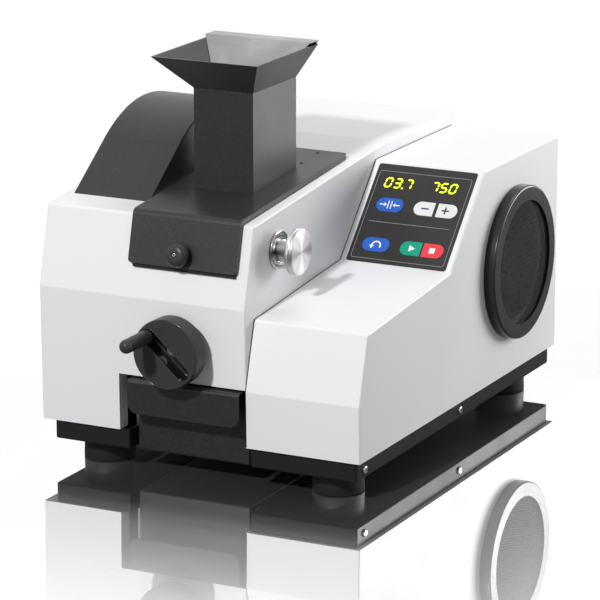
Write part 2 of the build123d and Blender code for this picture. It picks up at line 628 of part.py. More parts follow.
def fan_ring():
    face = RIGHT_X + RING_T
    body = slab_x(RIGHT_X, face, ring(RING_R, RING_BORE_R, MOTOR_Y, MOTOR_Z))
    outer = [e for e in body.edges().filter_by(GeomType.CIRCLE)
             if abs(e.center().X - face) < 1e-3 and e.radius > RING_R - 1]
    body = fillet(outer, RING_EDGE_R)
    body -= slab_x(RIGHT_X - 1, face - MESH_RECESS, disc(MESH_R + FIT, MOTOR_Y, MOTOR_Z))
    return body


def fan_mesh():
    """Round guard plate with a hexagonal pattern of holes."""
    face = disc(MESH_R, 0, 0)
    rows = int(2 * RING_BORE_R / (MESH_PITCH * sqrt(3) / 2))
    holes = []
    for j in range(-rows, rows + 1):
        for i in range(-rows, rows + 1):
            u = (i + (j % 2) / 2) * MESH_PITCH
            v = j * MESH_PITCH * sqrt(3) / 2
            if hypot(u, v) < RING_BORE_R - MESH_HOLE_R - 1:
                holes.append(Pos(u, v))
    face -= Sketch() + [hole * Circle(MESH_HOLE_R) for hole in holes]
    x1 = RIGHT_X + RING_T - MESH_RECESS
    return slab_x(x1 - MESH_T, x1, Pos(MOTOR_Y, MOTOR_Z) * face)


# ------------------------------------------------------------------ key panel
def key_face(kind, split, grow=0.0):
    """Outline of one key: a whole pill, or the left or right half of a split pill."""
    if kind == "pill":
        return SlotOverall(KEY_W + 2 * grow, KEY_H + 2 * grow)
    whole = SlotOverall(PAIR_W + 2 * grow, KEY_H + 2 * grow)
    side = -1 if kind == "left" else 1
    inner = split / 2 - grow
    keep = Pos(side * (inner + PAIR_W / 2), 0) * Rectangle(PAIR_W, 2 * KEY_H)
    return whole & keep


KEYS = {
    "key_reset": ("pill", KEY_COL_X, KEY_ROW_S[0], KEY_SPLIT[0]),
    "key_minus": ("left", PAIR_COL_X, KEY_ROW_S[0], KEY_SPLIT[0]),
    "key_plus": ("right", PAIR_COL_X, KEY_ROW_S[0], KEY_SPLIT[0]),
    "key_reverse": ("pill", KEY_COL_X, KEY_ROW_S[1], KEY_SPLIT[1]),
    "key_start": ("left", PAIR_COL_X, KEY_ROW_S[1], KEY_SPLIT[1]),
    "key_stop": ("right", PAIR_COL_X, KEY_ROW_S[1], KEY_SPLIT[1]),
}


def on_slope(face, h0, h1):
    return SLOPE * extrude(Pos(0, 0, h0) * face, amount=h1 - h0, dir=(0, 0, 1))


def key(kind, x, s, split):
    top = PANEL_FOIL + KEY_RISE
    body = extrude(key_face(kind, split), amount=KEY_T, dir=(0, 0, 1))
    body = fillet(body.faces().sort_by(Axis.Z)[-1].edges(), 0.25)
    return SLOPE * (Pos(x, s, top - KEY_T) * body)


def control_panel():
    face = plate(PANEL_X0, PANEL_X1, PANEL_S0, PANEL_S1, PANEL_R)
    for kind, x, s, split in KEYS.values():
        face -= Pos(x, s) * key_face(kind, split, FIT)
    for x0, x1, s0, s1 in (WINDOW_GAP, WINDOW_SPEED):
        face -= Pos((x0 + x1) / 2, (s0 + s1) / 2) * Rectangle(x1 - x0, s1 - s0)
    return on_slope(face, 0, PANEL_FOIL)


def display_windows():
    panes = []
    for x0, x1, s0, s1 in (WINDOW_GAP, WINDOW_SPEED):
        pane = Pos((x0 + x1) / 2, (s0 + s1) / 2) * Rectangle(x1 - x0 - 0.1, s1 - s0 - 0.1)
        panes.append(on_slope(pane, 0, PANEL_FOIL))
    return group(panes)


def circuit_board():
    """Board behind the panel with its switches, digit modules and four posts."""
    rim = PANEL_RIM / 2
    face = plate(PANEL_X0 - 1, PANEL_X1 + 1, PANEL_S0 + 2, PANEL_S1 - 2, 2)
    board = on_slope(face, -BOARD_H - BOARD_T, -BOARD_H)
    key_foot = PANEL_FOIL + KEY_RISE - KEY_T
    for kind, x, s, split in KEYS.values():
        shift = {"pill": 0, "left": -PAIR_W / 4, "right": PAIR_W / 4}[kind]
        board += on_slope(Pos(x + shift, s) * Rectangle(6, 6), -BOARD_H - 0.1, key_foot - KEY_TRAVEL - 0.2)
    for x0, x1, s0, s1 in (WINDOW_GAP, WINDOW_SPEED):
        module = Pos((x0 + x1) / 2, (s0 + s1) / 2) * Rectangle(x1 - x0 - 1, s1 - s0 - 1)
        board += on_slope(module, -BOARD_H - 0.1, -FIT)
    for x in (PANEL_X0 + rim, PANEL_X1 - rim):
        for s in (PANEL_S0 + rim + 1.2, PANEL_S1 - rim - 1.2):
            board += on_slope(disc(POST_R, x, s), -BOARD_H - 0.1, -SHEET)
    return board


def drive_inverter():
    """Finned box of the motor drive, standing on the tray in the control housing."""
    x0, x1, y0, y1, z1 = CRUSHER_W + 18.0, RIGHT_X - 22.0, 60.0, 230.0, 100.0
    box = block(x0, x1, y0, y1, TRAY_FLOOR, z1)
    fins, fin_w, fin_h = 9, 3.0, 14.0
    pitch = (x1 - x0 - fin_w) / (fins - 1)
    for k in range(fins):
        x = x0 + k * pitch
        box += block(x, x + fin_w, y0 + 6, y1 - 6, z1 - 0.1, z1 + fin_h)
    return box


# ------------------------------------------------------------------ drawer and its tunnel
def drawer_tunnel():
    """Strong channel over the drawer that carries the front of the crusher, with its two rails."""
    x0, x1 = TUNNEL_X0 - TUNNEL_T, TUNNEL_X1 + TUNNEL_T
    tunnel = block(x0, x1, TUNNEL_Y0, TUNNEL_Y1, TRAY_FLOOR, TUNNEL_TOP)
    tunnel -= block(TUNNEL_X0, TUNNEL_X1, TUNNEL_Y0 - 1, TUNNEL_Y1 - TUNNEL_T, TRAY_FLOOR - 1,
                    TUNNEL_TOP - TUNNEL_T)
    dx0, dx1, dy0, dy1 = DISCHARGE
    tunnel -= block(dx0, dx1, dy0, dy1, TUNNEL_TOP - TUNNEL_T - 1, TUNNEL_TOP + 1)
    runner_z = DRAWER_SIDE_Z - DRAWER_T - FIT
    for a, b in ((TUNNEL_X0 - 0.1, DRAWER_X0 - FIT), (DRAWER_X1 + FIT, TUNNEL_X1 + 0.1)):
        tunnel += block(a, b, TUNNEL_Y0, TUNNEL_Y1 - TUNNEL_T + 0.1, runner_z - RAIL_H, runner_z)
    return tunnel


def drawer_tray():
    pan = block(DRAWER_X0, DRAWER_X1, DRAWER_Y0, DRAWER_Y1, DRAWER_Z0, DRAWER_SIDE_Z)
    low = pan.edges().group_by(Axis.Z)[0]
    pan = fillet(low, 2.5)
    pan += block(DRAWER_X0, DRAWER_X1, DRAWER_Y0, DRAWER_Y0 + DRAWER_T, 0, LIP_Z1 - LIP_T)
    inside = block(DRAWER_X0 + DRAWER_T, DRAWER_X1 - DRAWER_T, DRAWER_Y0 + DRAWER_T,
                   DRAWER_Y1 - DRAWER_T, DRAWER_Z0 + DRAWER_T, DRAWER_SIDE_Z + 1)
    pan -= fillet(inside.edges().group_by(Axis.Z)[0], 1.5)
    for a, b in ((DRAWER_X0 - RUNNER_W, DRAWER_X0 + 0.5), (DRAWER_X1 - 0.5, DRAWER_X1 + RUNNER_W - 1.4)):
        pan += block(a, b, TUNNEL_Y0 + 1, DRAWER_Y1, DRAWER_SIDE_Z - DRAWER_T, DRAWER_SIDE_Z)
    return pan


def drawer_front():
    """Pull plate in front of the drawer, bent back over its top edge."""
    lip = block(DRAWER_X0, DRAWER_X1, LIP_Y, DRAWER_Y0 + DRAWER_T, LIP_Z0, LIP_Z1)
    lip = fillet([e for e in lip.edges().filter_by(Axis.X)
                  if e.center().Y < LIP_Y + 1 and e.center().Z > LIP_Z1 - 1], LIP_BEND_R)
    lip -= block(DRAWER_X0 - 1, DRAWER_X1 + 1, LIP_Y + LIP_T, DRAWER_Y0 + DRAWER_T + 1, LIP_Z0 - 1,
                 LIP_Z1 - LIP_T)
    corners = [e for e in lip.edges().filter_by(Axis.Y) if e.center().Z < LIP_Z0 + 1]
    return fillet(corners, LIP_CORNER_R)


# ------------------------------------------------------------------ crusher
def jaw_point(u, n):
    """y, z of a point u up the moving jaw's face and n behind it."""
    dy, dz = MOVING_HEAD_Y - MOVING_FOOT_Y, MOVING_HEAD_Z - JAW_FOOT_Z
    length = hypot(dy, dz)
    dy, dz = dy / length, dz / length
    return MOVING_FOOT_Y + u * dy + n * dz, JAW_FOOT_Z + u * dz - n * dy


JAW_L = hypot(MOVING_HEAD_Y - MOVING_FOOT_Y, MOVING_HEAD_Z - JAW_FOOT_Z)


def crusher_side_plates():
    foot = TRAY_FLOOR + SIDE_SHIM
    outline = polygon((SIDE_Y0, TUNNEL_TOP), (SIDE_FOOT_Y, TUNNEL_TOP), (SIDE_FOOT_Y, foot),
                      (SIDE_Y1, foot), (SIDE_Y1, SHAFT_Z - 45), (SHAFT_Y + 60, SIDE_TOP),
                      (SIDE_Y0 + 16, SIDE_TOP), (SIDE_Y0, SIDE_TOP - 38))
    outline -= disc(BEARING_R, SHAFT_Y, SHAFT_Z)
    return group([slab_x(CHAMBER_X0 - SIDE_T, CHAMBER_X0, outline),
                  slab_x(CHAMBER_X1, CHAMBER_X1 + SIDE_T, outline)])


def wear_plates():
    back_foot = jaw_point(0, 0)[0] + 24
    outline = polygon((WEAR_Y0, WEAR_Z0), (back_foot, WEAR_Z0), (MOVING_HEAD_Y + 14, WEAR_Z1),
                      (WEAR_Y0, WEAR_Z1))
    return group([slab_x(CHAMBER_X0, CHAMBER_X0 + WEAR_T, outline),
                  slab_x(CHAMBER_X1 - WEAR_T, CHAMBER_X1, outline)])


def front_block():
    body = block(CHAMBER_X0, CHAMBER_X1, SIDE_Y0, FRONT_BLOCK_Y1, FRONT_BLOCK_Z0, FRONT_BLOCK_Z1)
    return body - slab_y(SIDE_Y0 - 1, FRONT_BLOCK_Y1 + 1, disc(SLEEVE_R, AXIS_X, WHEEL_Z))


def spindle_bearing():
    """Flanged sleeve from the front block through the housing's front wall."""
    sleeve = slab_y(SLEEVE_Y0, FRONT_BLOCK_Y1, disc(SLEEVE_R, AXIS_X, WHEEL_Z))
    sleeve += slab_y(SIDE_Y0 - 4, SIDE_Y0, disc(SLEEVE_FLANGE_R, AXIS_X, WHEEL_Z))
    return sleeve - slab_y(SLEEVE_Y0 - 1, FRONT_BLOCK_Y1 + 1, disc(SPINDLE_R + RUN_FIT, AXIS_X, WHEEL_Z))


def rear_block():
    body = block(CHAMBER_X0, CHAMBER_X1, REAR_Y0, REAR_Y1, REAR_Z0, REAR_Z1)
    return body - slab_y(REAR_Y0 - 1, REAR_Y1 + 1, disc(ROD_HOLE_R, AXIS_X, ROD_Z))


def toggle_seat_y():
    """Back face of the moving jaw's arm at the toggle's height."""
    y0, z0 = jaw_point(0, JAW_PLATE_T + ARM_T)
    y1, z1 = jaw_point(JAW_L, JAW_PLATE_T + ARM_T)
    low = TOGGLE_Z + TOGGLE_T / 2
    return y0 + (low - z0) * (y1 - y0) / (z1 - z0)


def toggle_plate():
    y0 = toggle_seat_y() + TOGGLE_GAP
    body = block(JAW_X0 + 4, JAW_X1 - 4, y0, REAR_Y0, TOGGLE_Z - TOGGLE_T / 2, TOGGLE_Z + TOGGLE_T / 2)
    return fillet([e for e in body.edges().filter_by(Axis.X) if e.center().Y < y0 + 1], TOGGLE_T * 0.4)


def main_bearings():
    bearings = []
    left, right = CHAMBER_X0 - SIDE_T, CHAMBER_X1 + SIDE_T
    for x0, x1, plate_x0 in ((left - BEARING_FLANGE_T, left, left),
                             (right, right + BEARING_FLANGE_T, CHAMBER_X1)):
        body = slab_x(x0, x1, disc(BEARING_FLANGE_R, SHAFT_Y, SHAFT_Z))
        body += slab_x(plate_x0, plate_x0 + SIDE_T, disc(BEARING_R, SHAFT_Y, SHAFT_Z))
        body -= slab_x(x0 - 1, x1 + SIDE_T + 1, disc(MAIN_R + RUN_FIT, SHAFT_Y, SHAFT_Z))
        body -= slab_x(plate_x0 - 1, plate_x0 + SIDE_T + 1, disc(MAIN_R + RUN_FIT, SHAFT_Y, SHAFT_Z))
        bearings.append(body)
    return group(bearings)


def eccentric_shaft():
    x0, x1 = CHAMBER_X0 - SIDE_T - BEARING_FLANGE_T, CHAMBER_X1 + SIDE_T + BEARING_FLANGE_T
    shaft = slab_x(FLY_X0 - 6, x1 + 5, disc(MAIN_R, SHAFT_Y, SHAFT_Z))
    shaft += slab_x(CHAMBER_X0 + FIT, CHAMBER_X1 - FIT, disc(JOURNAL_R, SHAFT_Y - THROW, SHAFT_Z))
    shaft += slab_x(x0 - 4, x0 - FIT, disc(MAIN_R + 4, SHAFT_Y, SHAFT_Z))
    return chamfer(shaft.edges().filter_by(GeomType.CIRCLE).sort_by(Axis.X)[0], 1.5)


def flywheel():
    """Spoke-free wheel: rim, web and hub on the left end of the shaft."""
    middle = (FLY_X0 + FLY_X1) / 2
    body = slab_x(FLY_X0, FLY_X1, ring(FLY_R, FLY_R - FLY_RIM, SHAFT_Y, SHAFT_Z))
    body += slab_x(middle - FLY_WEB / 2, middle + FLY_WEB / 2, disc(FLY_R - FLY_RIM + 1, SHAFT_Y, SHAFT_Z))
    body += slab_x(FLY_X0 - 3, FLY_X1 + 1, disc(FLY_HUB_R, SHAFT_Y, SHAFT_Z))
    return body - slab_x(FLY_X0 - 5, FLY_X1 + 5, disc(MAIN_R + RUN_FIT / 2, SHAFT_Y, SHAFT_Z))


def driven_pulley():
    middle = (PULLEY_X0 + PULLEY_X1) / 2
    body = slab_x(PULLEY_X0, PULLEY_X1, ring(PULLEY_R, PULLEY_R - PULLEY_RIM, SHAFT_Y, SHAFT_Z))
    body += slab_x(middle - PULLEY_WEB / 2, middle + PULLEY_WEB / 2,
                   disc(PULLEY_R - PULLEY_RIM + 1, SHAFT_Y, SHAFT_Z))
    body += slab_x(FLY_X1 + 1, PULLEY_X1 + 2, disc(FLY_HUB_R, SHAFT_Y, SHAFT_Z))
    for x in (PULLEY_X0, PULLEY_X1 - 1.5):
        body += slab_x(x, x + 1.5, ring(PULLEY_R + PULLEY_LIP, PULLEY_R - 1, SHAFT_Y, SHAFT_Z))
    return body - slab_x(FLY_X1, PULLEY_X1 + 5, disc(MAIN_R + RUN_FIT / 2, SHAFT_Y, SHAFT_Z))


def belt_loop(x0, x1, grow):
    """Solid bounded by a belt that wraps both pulleys, grown outwards."""
    big, small = PULLEY_R + FIT + grow, MOTOR_PULLEY_R + FIT + grow
    span = hypot(MOTOR_Y - SHAFT_Y, MOTOR_Z - SHAFT_Z)
    lean = atan2(MOTOR_Z - SHAFT_Z, MOTOR_Y - SHAFT_Y)
    wrap = atan2(sqrt(span ** 2 - (big - small) ** 2), big - small)
    corners = []
    for a in (lean + wrap, lean - wrap):
        pair = [(SHAFT_Y + big * cos(a), SHAFT_Z + big * sin(a)),
                (MOTOR_Y + small * cos(a), MOTOR_Z + small * sin(a))]
        corners += pair if not corners else pair[::-1]
    loop = slab_x(x0, x1, polygon(*corners)) + slab_x(x0, x1, disc(big, SHAFT_Y, SHAFT_Z))
    return loop + slab_x(x0, x1, disc(small, MOTOR_Y, MOTOR_Z))


def drive_belt():
    x0, x1 = PULLEY_X0 + BELT_MARGIN, PULLEY_X1 - BELT_MARGIN
    return belt_loop(x0, x1, BELT_T) - belt_loop(x0 - 1, x1 + 1, 0)


def swing_jaw():
    """Casting of the moving jaw: hub on the eccentric journal and an arm behind the jaw plate."""
    n0, n1 = JAW_PLATE_T, JAW_PLATE_T + ARM_T
    hub_y = SHAFT_Y - THROW
    arm = polygon(jaw_point(-8, n0), jaw_point(JAW_L, n0), jaw_point(JAW_L, n1 - 4),
                  (hub_y + 2, SHAFT_Z + HUB_R), (hub_y, SHAFT_Z), (hub_y - 12, SHAFT_Z - HUB_R + 2),
                  jaw_point(52, n1), jaw_point(-8, n1))
    casting = slab_x(JAW_X0, JAW_X1, arm) + slab_x(JAW_X0, JAW_X1, disc(HUB_R, hub_y, SHAFT_Z))
    casting -= block(JAW_X0 - 1, JAW_X1 + 1, 0, SHAFT_Y, 0, ARM_Z0)
    return casting - slab_x(JAW_X0 - 1, JAW_X1 + 1, disc(JOURNAL_R + RUN_FIT, hub_y, SHAFT_Z))


def moving_jaw_plate():
    outline = polygon(jaw_point(0, 0), jaw_point(JAW_L, 0), jaw_point(JAW_L, JAW_PLATE_T),
                      jaw_point(0, JAW_PLATE_T))
    return slab_x(JAW_X0, JAW_X1, outline)


def tension_rod():
    """Rod from the jaw's foot through the rear block, with its spring and nut."""
    z0, z1 = JAW_PLATE_T + ARM_T, ROD_Z
    y_seat = jaw_point(0, z0)[0] + (z1 - jaw_point(0, z0)[1]) * (
        MOVING_HEAD_Y - MOVING_FOOT_Y) / (MOVING_HEAD_Z - JAW_FOOT_Z)
    rod = slab_y(y_seat - 1.5, ROD_END_Y, disc(ROD_R, AXIS_X, ROD_Z))
    rod -= swing_jaw()
    spring_y0 = REAR_Y1 + FIT
    nut = slab_y(spring_y0 + SPRING_L, spring_y0 + SPRING_L + 8, RegularPolygon(SPRING_R + 2, 6))
    nut = Pos(AXIS_X, 0, ROD_Z) * nut - slab_y(REAR_Y1, ROD_END_Y, disc(ROD_R, AXIS_X, ROD_Z))
    path = Helix(pitch=(SPRING_L - 2 * SPRING_WIRE - 1) / SPRING_TURNS,
                 height=SPRING_L - 2 * SPRING_WIRE - 1, radius=SPRING_R - SPRING_WIRE,
                 center=(0, 0, 0), direction=(0, 0, 1))
    wire = sweep(Plane(origin=path @ 0, z_dir=path % 0) * Circle(SPRING_WIRE), path=path)
    spring = Pos(AXIS_X, spring_y0 + SPRING_WIRE + 0.5, ROD_Z) * (Rot(-90, 0, 0) * wire)
    return group([rod, nut, spring])


def jaw_carrier():
    """Sliding block of the front jaw with the spindle's nut thread in it."""
    foot, head = FIXED_FOOT_Y - JAW_PLATE_T, FIXED_HEAD_Y - JAW_PLATE_T
    z0, z1 = JAW_FOOT_Z + 2, FIXED_HEAD_Z
    wide = block(CHAMBER_X0 + FIT, CHAMBER_X1 - FIT, CARRIER_Y0, CARRIER_STEP_Y, z0, z1)
    lean = (head - foot) / (FIXED_HEAD_Z - JAW_FOOT_Z)
    narrow = polygon((CARRIER_STEP_Y - 1, z0), (foot + 2 * lean, z0), (head, z1), (CARRIER_STEP_Y - 1, z1))
    body = wide + slab_x(JAW_X0, JAW_X1, narrow)
    return body - slab_y(CARRIER_Y0 - 1, foot - 3, disc(SPINDLE_R + RUN_FIT, AXIS_X, WHEEL_Z))


def fixed_jaw_plate():
    outline = polygon((FIXED_FOOT_Y, JAW_FOOT_Z), (FIXED_HEAD_Y, FIXED_HEAD_Z),
                      (FIXED_HEAD_Y - JAW_PLATE_T, FIXED_HEAD_Z), (FIXED_FOOT_Y - JAW_PLATE_T, JAW_FOOT_Z))
    return slab_x(JAW_X0, JAW_X1, outline)


def feed_chute():
    """Sheet funnel from the lid's opening down to the jaws, between the side plates."""
    z0 = FIXED_HEAD_Z + 3
    y0, y1 = HOPPER_Y0 - 4, HOPPER_Y1 + 2
    outer = polygon((y0, z0), (y0, top_z(y0) - 3), (y1, top_z(y1) - 3), (MOVING_HEAD_Y + 8, z0))
    t = 2.0
    inner = polygon((y0 + t, z0 - 1), (y0 + t, CRUSHER_H), (y1 - t, CRUSHER_H),
                    (y1 - t, top_z(y1) - 3), (MOVING_HEAD_Y + 8 - 1.4 * t, z0),
                    (MOVING_HEAD_Y + 8 - 1.4 * t, z0 - 1))
    return slab_x(CHAMBER_X0, CHAMBER_X1, outer) - slab_x(CHAMBER_X0 + t, CHAMBER_X1 - t, inner)


# ------------------------------------------------------------------ motor
def motor_housing():
    body = slab_x(MOTOR_X0, MOTOR_X1, disc(MOTOR_R, MOTOR_Y, MOTOR_Z))
    x0, x1, y0, y1 = MOTOR_FOOT
    body += block(x0, x1, y0, y1, TRAY_FLOOR, MOTOR_Z)
    body -= slab_x(MOTOR_X0 + MOTOR_CAP, MOTOR_X1 - MOTOR_CAP, disc(MOTOR_R - MOTOR_WALL, MOTOR_Y, MOTOR_Z))
    return body - slab_x(MOTOR_X0 - 1, MOTOR_X1 + 1, disc(MOTOR_SHAFT_R + RUN_FIT, MOTOR_Y, MOTOR_Z))


def motor_stator():
    middle = (MOTOR_X0 + MOTOR_X1) / 2
    face = ring(MOTOR_R - MOTOR_WALL - 0.05, STATOR_BORE_R, MOTOR_Y, MOTOR_Z)
    return slab_x(middle - STATOR_L / 2, middle + STATOR_L / 2, face)


def motor_rotor():
    middle = (MOTOR_X0 + MOTOR_X1) / 2
    core = slab_x(middle - STATOR_L / 2, middle + STATOR_L / 2,
                  disc(STATOR_BORE_R - ROTOR_GAP, MOTOR_Y, MOTOR_Z))
    return core + slab_x(PULLEY_X0 - 3, FAN_X1 + 4, disc(MOTOR_SHAFT_R, MOTOR_Y, MOTOR_Z))


def motor_pulley():
    body = slab_x(PULLEY_X0, PULLEY_X1, disc(MOTOR_PULLEY_R, MOTOR_Y, MOTOR_Z))
    for x in (PULLEY_X0, PULLEY_X1 - 1.5):
        body += slab_x(x, x + 1.5, disc(MOTOR_PULLEY_R + PULLEY_LIP, MOTOR_Y, MOTOR_Z))
    return body - slab_x(PULLEY_X0 - 1, PULLEY_X1 + 1, disc(MOTOR_SHAFT_R + RUN_FIT / 2, MOTOR_Y, MOTOR_Z))


def motor_fan():
    fan = slab_x(FAN_X0, FAN_X0 + 2.5, disc(FAN_R, 0, 0)) + slab_x(FAN_X0, FAN_X1, disc(FAN_HUB_R, 0, 0))
    blade = block(FAN_X0, FAN_X1, -FAN_BLADE_T / 2, FAN_BLADE_T / 2, FAN_HUB_R - 1, FAN_R - 0.5)
    for k in range(FAN_BLADES):
        fan += Rot(360 * k / FAN_BLADES, 0, 0) * blade
    fan -= slab_x(FAN_X0 - 1, FAN_X1 + 1, disc(MOTOR_SHAFT_R + RUN_FIT / 2, 0, 0))
    return Pos(0, MOTOR_Y, MOTOR_Z) * fan


# ------------------------------------------------------------------ lid and hopper
def lid_outline(low, high):
    """Side view of the layer between two heights above the housing's front slope and top."""
    return [front_at(LID_FRONT, low), corner_at(low), top_at(LID_BACK, low),
            top_at(LID_BACK, high), corner_at(high), front_at(LID_FRONT, high)]


def hopper_lid():
    lid = slab_x(LID_X0, LID_X1, polygon(*lid_outline(LID_LIFT, LID_H)))
    crest = Vector(0, *corner_at(LID_H))
    lid = fillet([e for e in lid.edges().filter_by(Axis.X)
                  if hypot(e.center().Y - crest.Y, e.center().Z - crest.Z) < 0.1], LID_BEND_R)
    foot_y, foot_z = front_at(LID_FRONT, (LID_LIFT + LID_H) / 2)
    corners = [e for e in lid.edges() if e.length < 1.2 * (LID_H - LID_LIFT)
               and hypot(e.center().Y - foot_y, e.center().Z - foot_z) < 0.5]
    back_y, back_z = top_at(LID_BACK, (LID_LIFT + LID_H) / 2)
    corners += [e for e in lid.edges() if e.length < 1.2 * (LID_H - LID_LIFT)
                and hypot(e.center().Y - back_y, e.center().Z - back_z) < 0.5]
    lid = fillet(corners, LID_CORNER_R)
    # hollow it from below, leaving the back open for the hinge
    under = LID_H - LID_T
    front_s = LID_FRONT - LID_T
    hollow = polygon(front_at(front_s, -5), corner_at(-5), top_at(LID_BACK + 1, -5),
                     top_at(LID_BACK + 1, under), corner_at(under), front_at(front_s, under))
    hollow = slab_x(LID_X0 + LID_T, LID_X1 - LID_T, hollow)
    lid -= fillet([e for e in hollow.edges().filter_by(Axis.X)
                   if hypot(e.center().Y - corner_at(under)[0], e.center().Z - corner_at(under)[1]) < 0.1],
                  LID_BEND_R - LID_T)
    lid -= block(HOPPER_X0 + HOPPER_T, HOPPER_X1 - HOPPER_T, HOPPER_Y0 + HOPPER_T, HOPPER_Y1 - HOPPER_T,
                 CRUSHER_EDGE_Z, NECK_Z)
    for s in LID_HOLE_S:
        y = top_at(s, LID_H)[0]
        lid -= slab_z(CRUSHER_EDGE_Z, NECK_Z, disc(LID_HOLE_R, LID_HOLE_X, y))
    # lug for the lock bolt, hanging through the well
    y0, y1 = LOCK_Y - LOCK_LUG_W / 2, LOCK_Y + LOCK_LUG_W / 2
    z0 = LOCK_Z - LOCK_LUG_DROP
    lug = polygon((y0, z0), (y1, z0), (y1, top_z(y1, under + 0.5)), (y0, top_z(y0, under + 0.5)))
    lug -= Pos(LOCK_Y, LOCK_Z) * Rectangle(LOCK_WINDOW, LOCK_WINDOW)
    lid += slab_x(LOCK_LUG_X0, LOCK_LUG_X1, lug)
    # hinge knuckle under the back edge
    hy, hz = top_at(HINGE_S, HINGE_H)
    knuckle = disc(HINGE_R, hy, hz) + polygon(top_at(HINGE_S - 1.5, HINGE_H), top_at(HINGE_S + 1.2, HINGE_H),
                                              top_at(HINGE_S + 1.2, under + 0.3),
                                              top_at(HINGE_S - 1.5, under + 0.3))
    lid += slab_x(HINGE_X[1] + FIT, HINGE_X[2] - FIT, knuckle)
    return lid - slab_x(HINGE_X[0], HINGE_X[3], disc(HINGE_PIN_R + RUN_FIT, hy, hz))


def lid_hinge():
    """Two knuckles on a leaf and their pin, fixed to the housing under the lid's back edge."""
    hy, hz = top_at(HINGE_S, HINGE_H)
    foot = polygon(top_at(HINGE_S - 2, 0), top_at(HINGE_S + 2, 0), top_at(HINGE_S + 2, HINGE_H),
                   top_at(HINGE_S - 2, HINGE_H)) + disc(HINGE_R, hy, hz)
    parts = [slab_x(a, b, foot) for a, b in (HINGE_X[0:2], HINGE_X[2:4])]
    parts = [p - slab_x(HINGE_X[0] - 1, HINGE_X[3] + 1, disc(HINGE_PIN_R, hy, hz)) for p in parts]
    pin = slab_x(HINGE_X[0], HINGE_X[3], disc(HINGE_PIN_R, hy, hz))
    return pin + parts[0] + parts[1]


def lid_gasket():
    """Foam frame glued under the lid around the well."""
    x0, x1, y0, y1 = WELL
    top = LID_H - LID_T
    m = GASKET_MARGIN

    def band(grow, low, high):
        a, b = y0 - grow, y1 + grow
        outline = [(a, top_z(a, low)), (b, top_z(b, low)), (b, top_z(b, high)), (a, top_z(a, high))]
        return slab_x(x0 - grow, x1 + grow, polygon(*outline))

    return band(m, FIT, top) - band(m - GASKET_W, -2, top + 2)


def feed_hopper():
    x0, x1, y0, y1 = HOPPER_X0, HOPPER_X1, HOPPER_Y0, HOPPER_Y1
    t = HOPPER_T

    def rect(z, inset):
        k = (z - NECK_Z) / (RIM_Z - NECK_Z)
        a = x0 + k * (RIM_X0 - x0) + inset
        b = x1 + k * (RIM_X1 - x1) - inset
        c = y0 + k * (RIM_Y0 - y0) + inset
        d = y1 + k * (RIM_Y1 - y1) - inset
        return Plane.XY.offset(z) * (Pos((a + b) / 2, (c + d) / 2) * Rectangle(b - a, d - c))

    tube = polygon((y0, top_z(y0, LID_H)), (y1, top_z(y1, LID_H)), (y1, NECK_Z), (y0, NECK_Z))
    body = slab_x(x0, x1, tube) + loft([rect(NECK_Z, 0), rect(RIM_Z, 0)], ruled=True)
    body -= block(x0 + t, x1 - t, y0 + t, y1 - t, CRUSHER_EDGE_Z, NECK_Z + 0.01)
    return body - loft([rect(NECK_Z, t), rect(RIM_Z + 2, 1.15 * t)], ruled=True)


def hopper_baffle():
    """Bent steel plate over the back rim, falling towards the front inside the funnel."""
    top, t = BAFFLE_TOP_Z, BAFFLE_T
    fall = radians(BAFFLE_FALL)
    back = RIM_Y1 + FIT + t
    run = BAFFLE_LIP_Y - BAFFLE_END_Y
    drop = run * sin(fall) / cos(fall)
    dz = t / cos(fall)
    hook = slab_x(RIM_X0, RIM_X1, polygon(
        (BAFFLE_LIP_Y, top - t), (back - t, top - t), (back - t, top - BAFFLE_HOOK),
        (back, top - BAFFLE_HOOK), (back, top), (BAFFLE_LIP_Y, top)))
    # the flap behind the funnel narrows with the funnel's back wall
    k = (RIM_Z - top + BAFFLE_HOOK) / (RIM_Z - NECK_Z)
    low0 = RIM_X0 + k * (HOPPER_X0 - RIM_X0)
    low1 = RIM_X1 + k * (HOPPER_X1 - RIM_X1)
    hook &= slab_y(BAFFLE_LIP_Y - 1, back + 1, polygon(
        (low0 + 4, top - BAFFLE_HOOK), (low1 - 7, top - BAFFLE_HOOK), (RIM_X1 - 3, RIM_Z), (RIM_X1, top),
        (RIM_X0, top), (RIM_X0, RIM_Z)))
    flap = slab_x(RIM_X0 - 5, RIM_X1 + 5, polygon(
        (BAFFLE_LIP_Y, top - dz), (BAFFLE_LIP_Y, top), (BAFFLE_END_Y, top - drop),
        (BAFFLE_END_Y, top - drop - dz)))
    inset = 1.3 * HOPPER_T + BAFFLE_GAP

    def rect(z):
        k = (z - NECK_Z) / (RIM_Z - NECK_Z)
        a = HOPPER_X0 + k * (RIM_X0 - HOPPER_X0) + inset
        b = HOPPER_X1 + k * (RIM_X1 - HOPPER_X1) - inset
        return Plane.XY.offset(z) * (Pos((a + b) / 2, BAFFLE_LIP_Y - run / 2) * Rectangle(b - a, 3 * run))

    return hook + (flap & loft([rect(NECK_Z), rect(BAFFLE_TOP_Z + 1)], ruled=True))


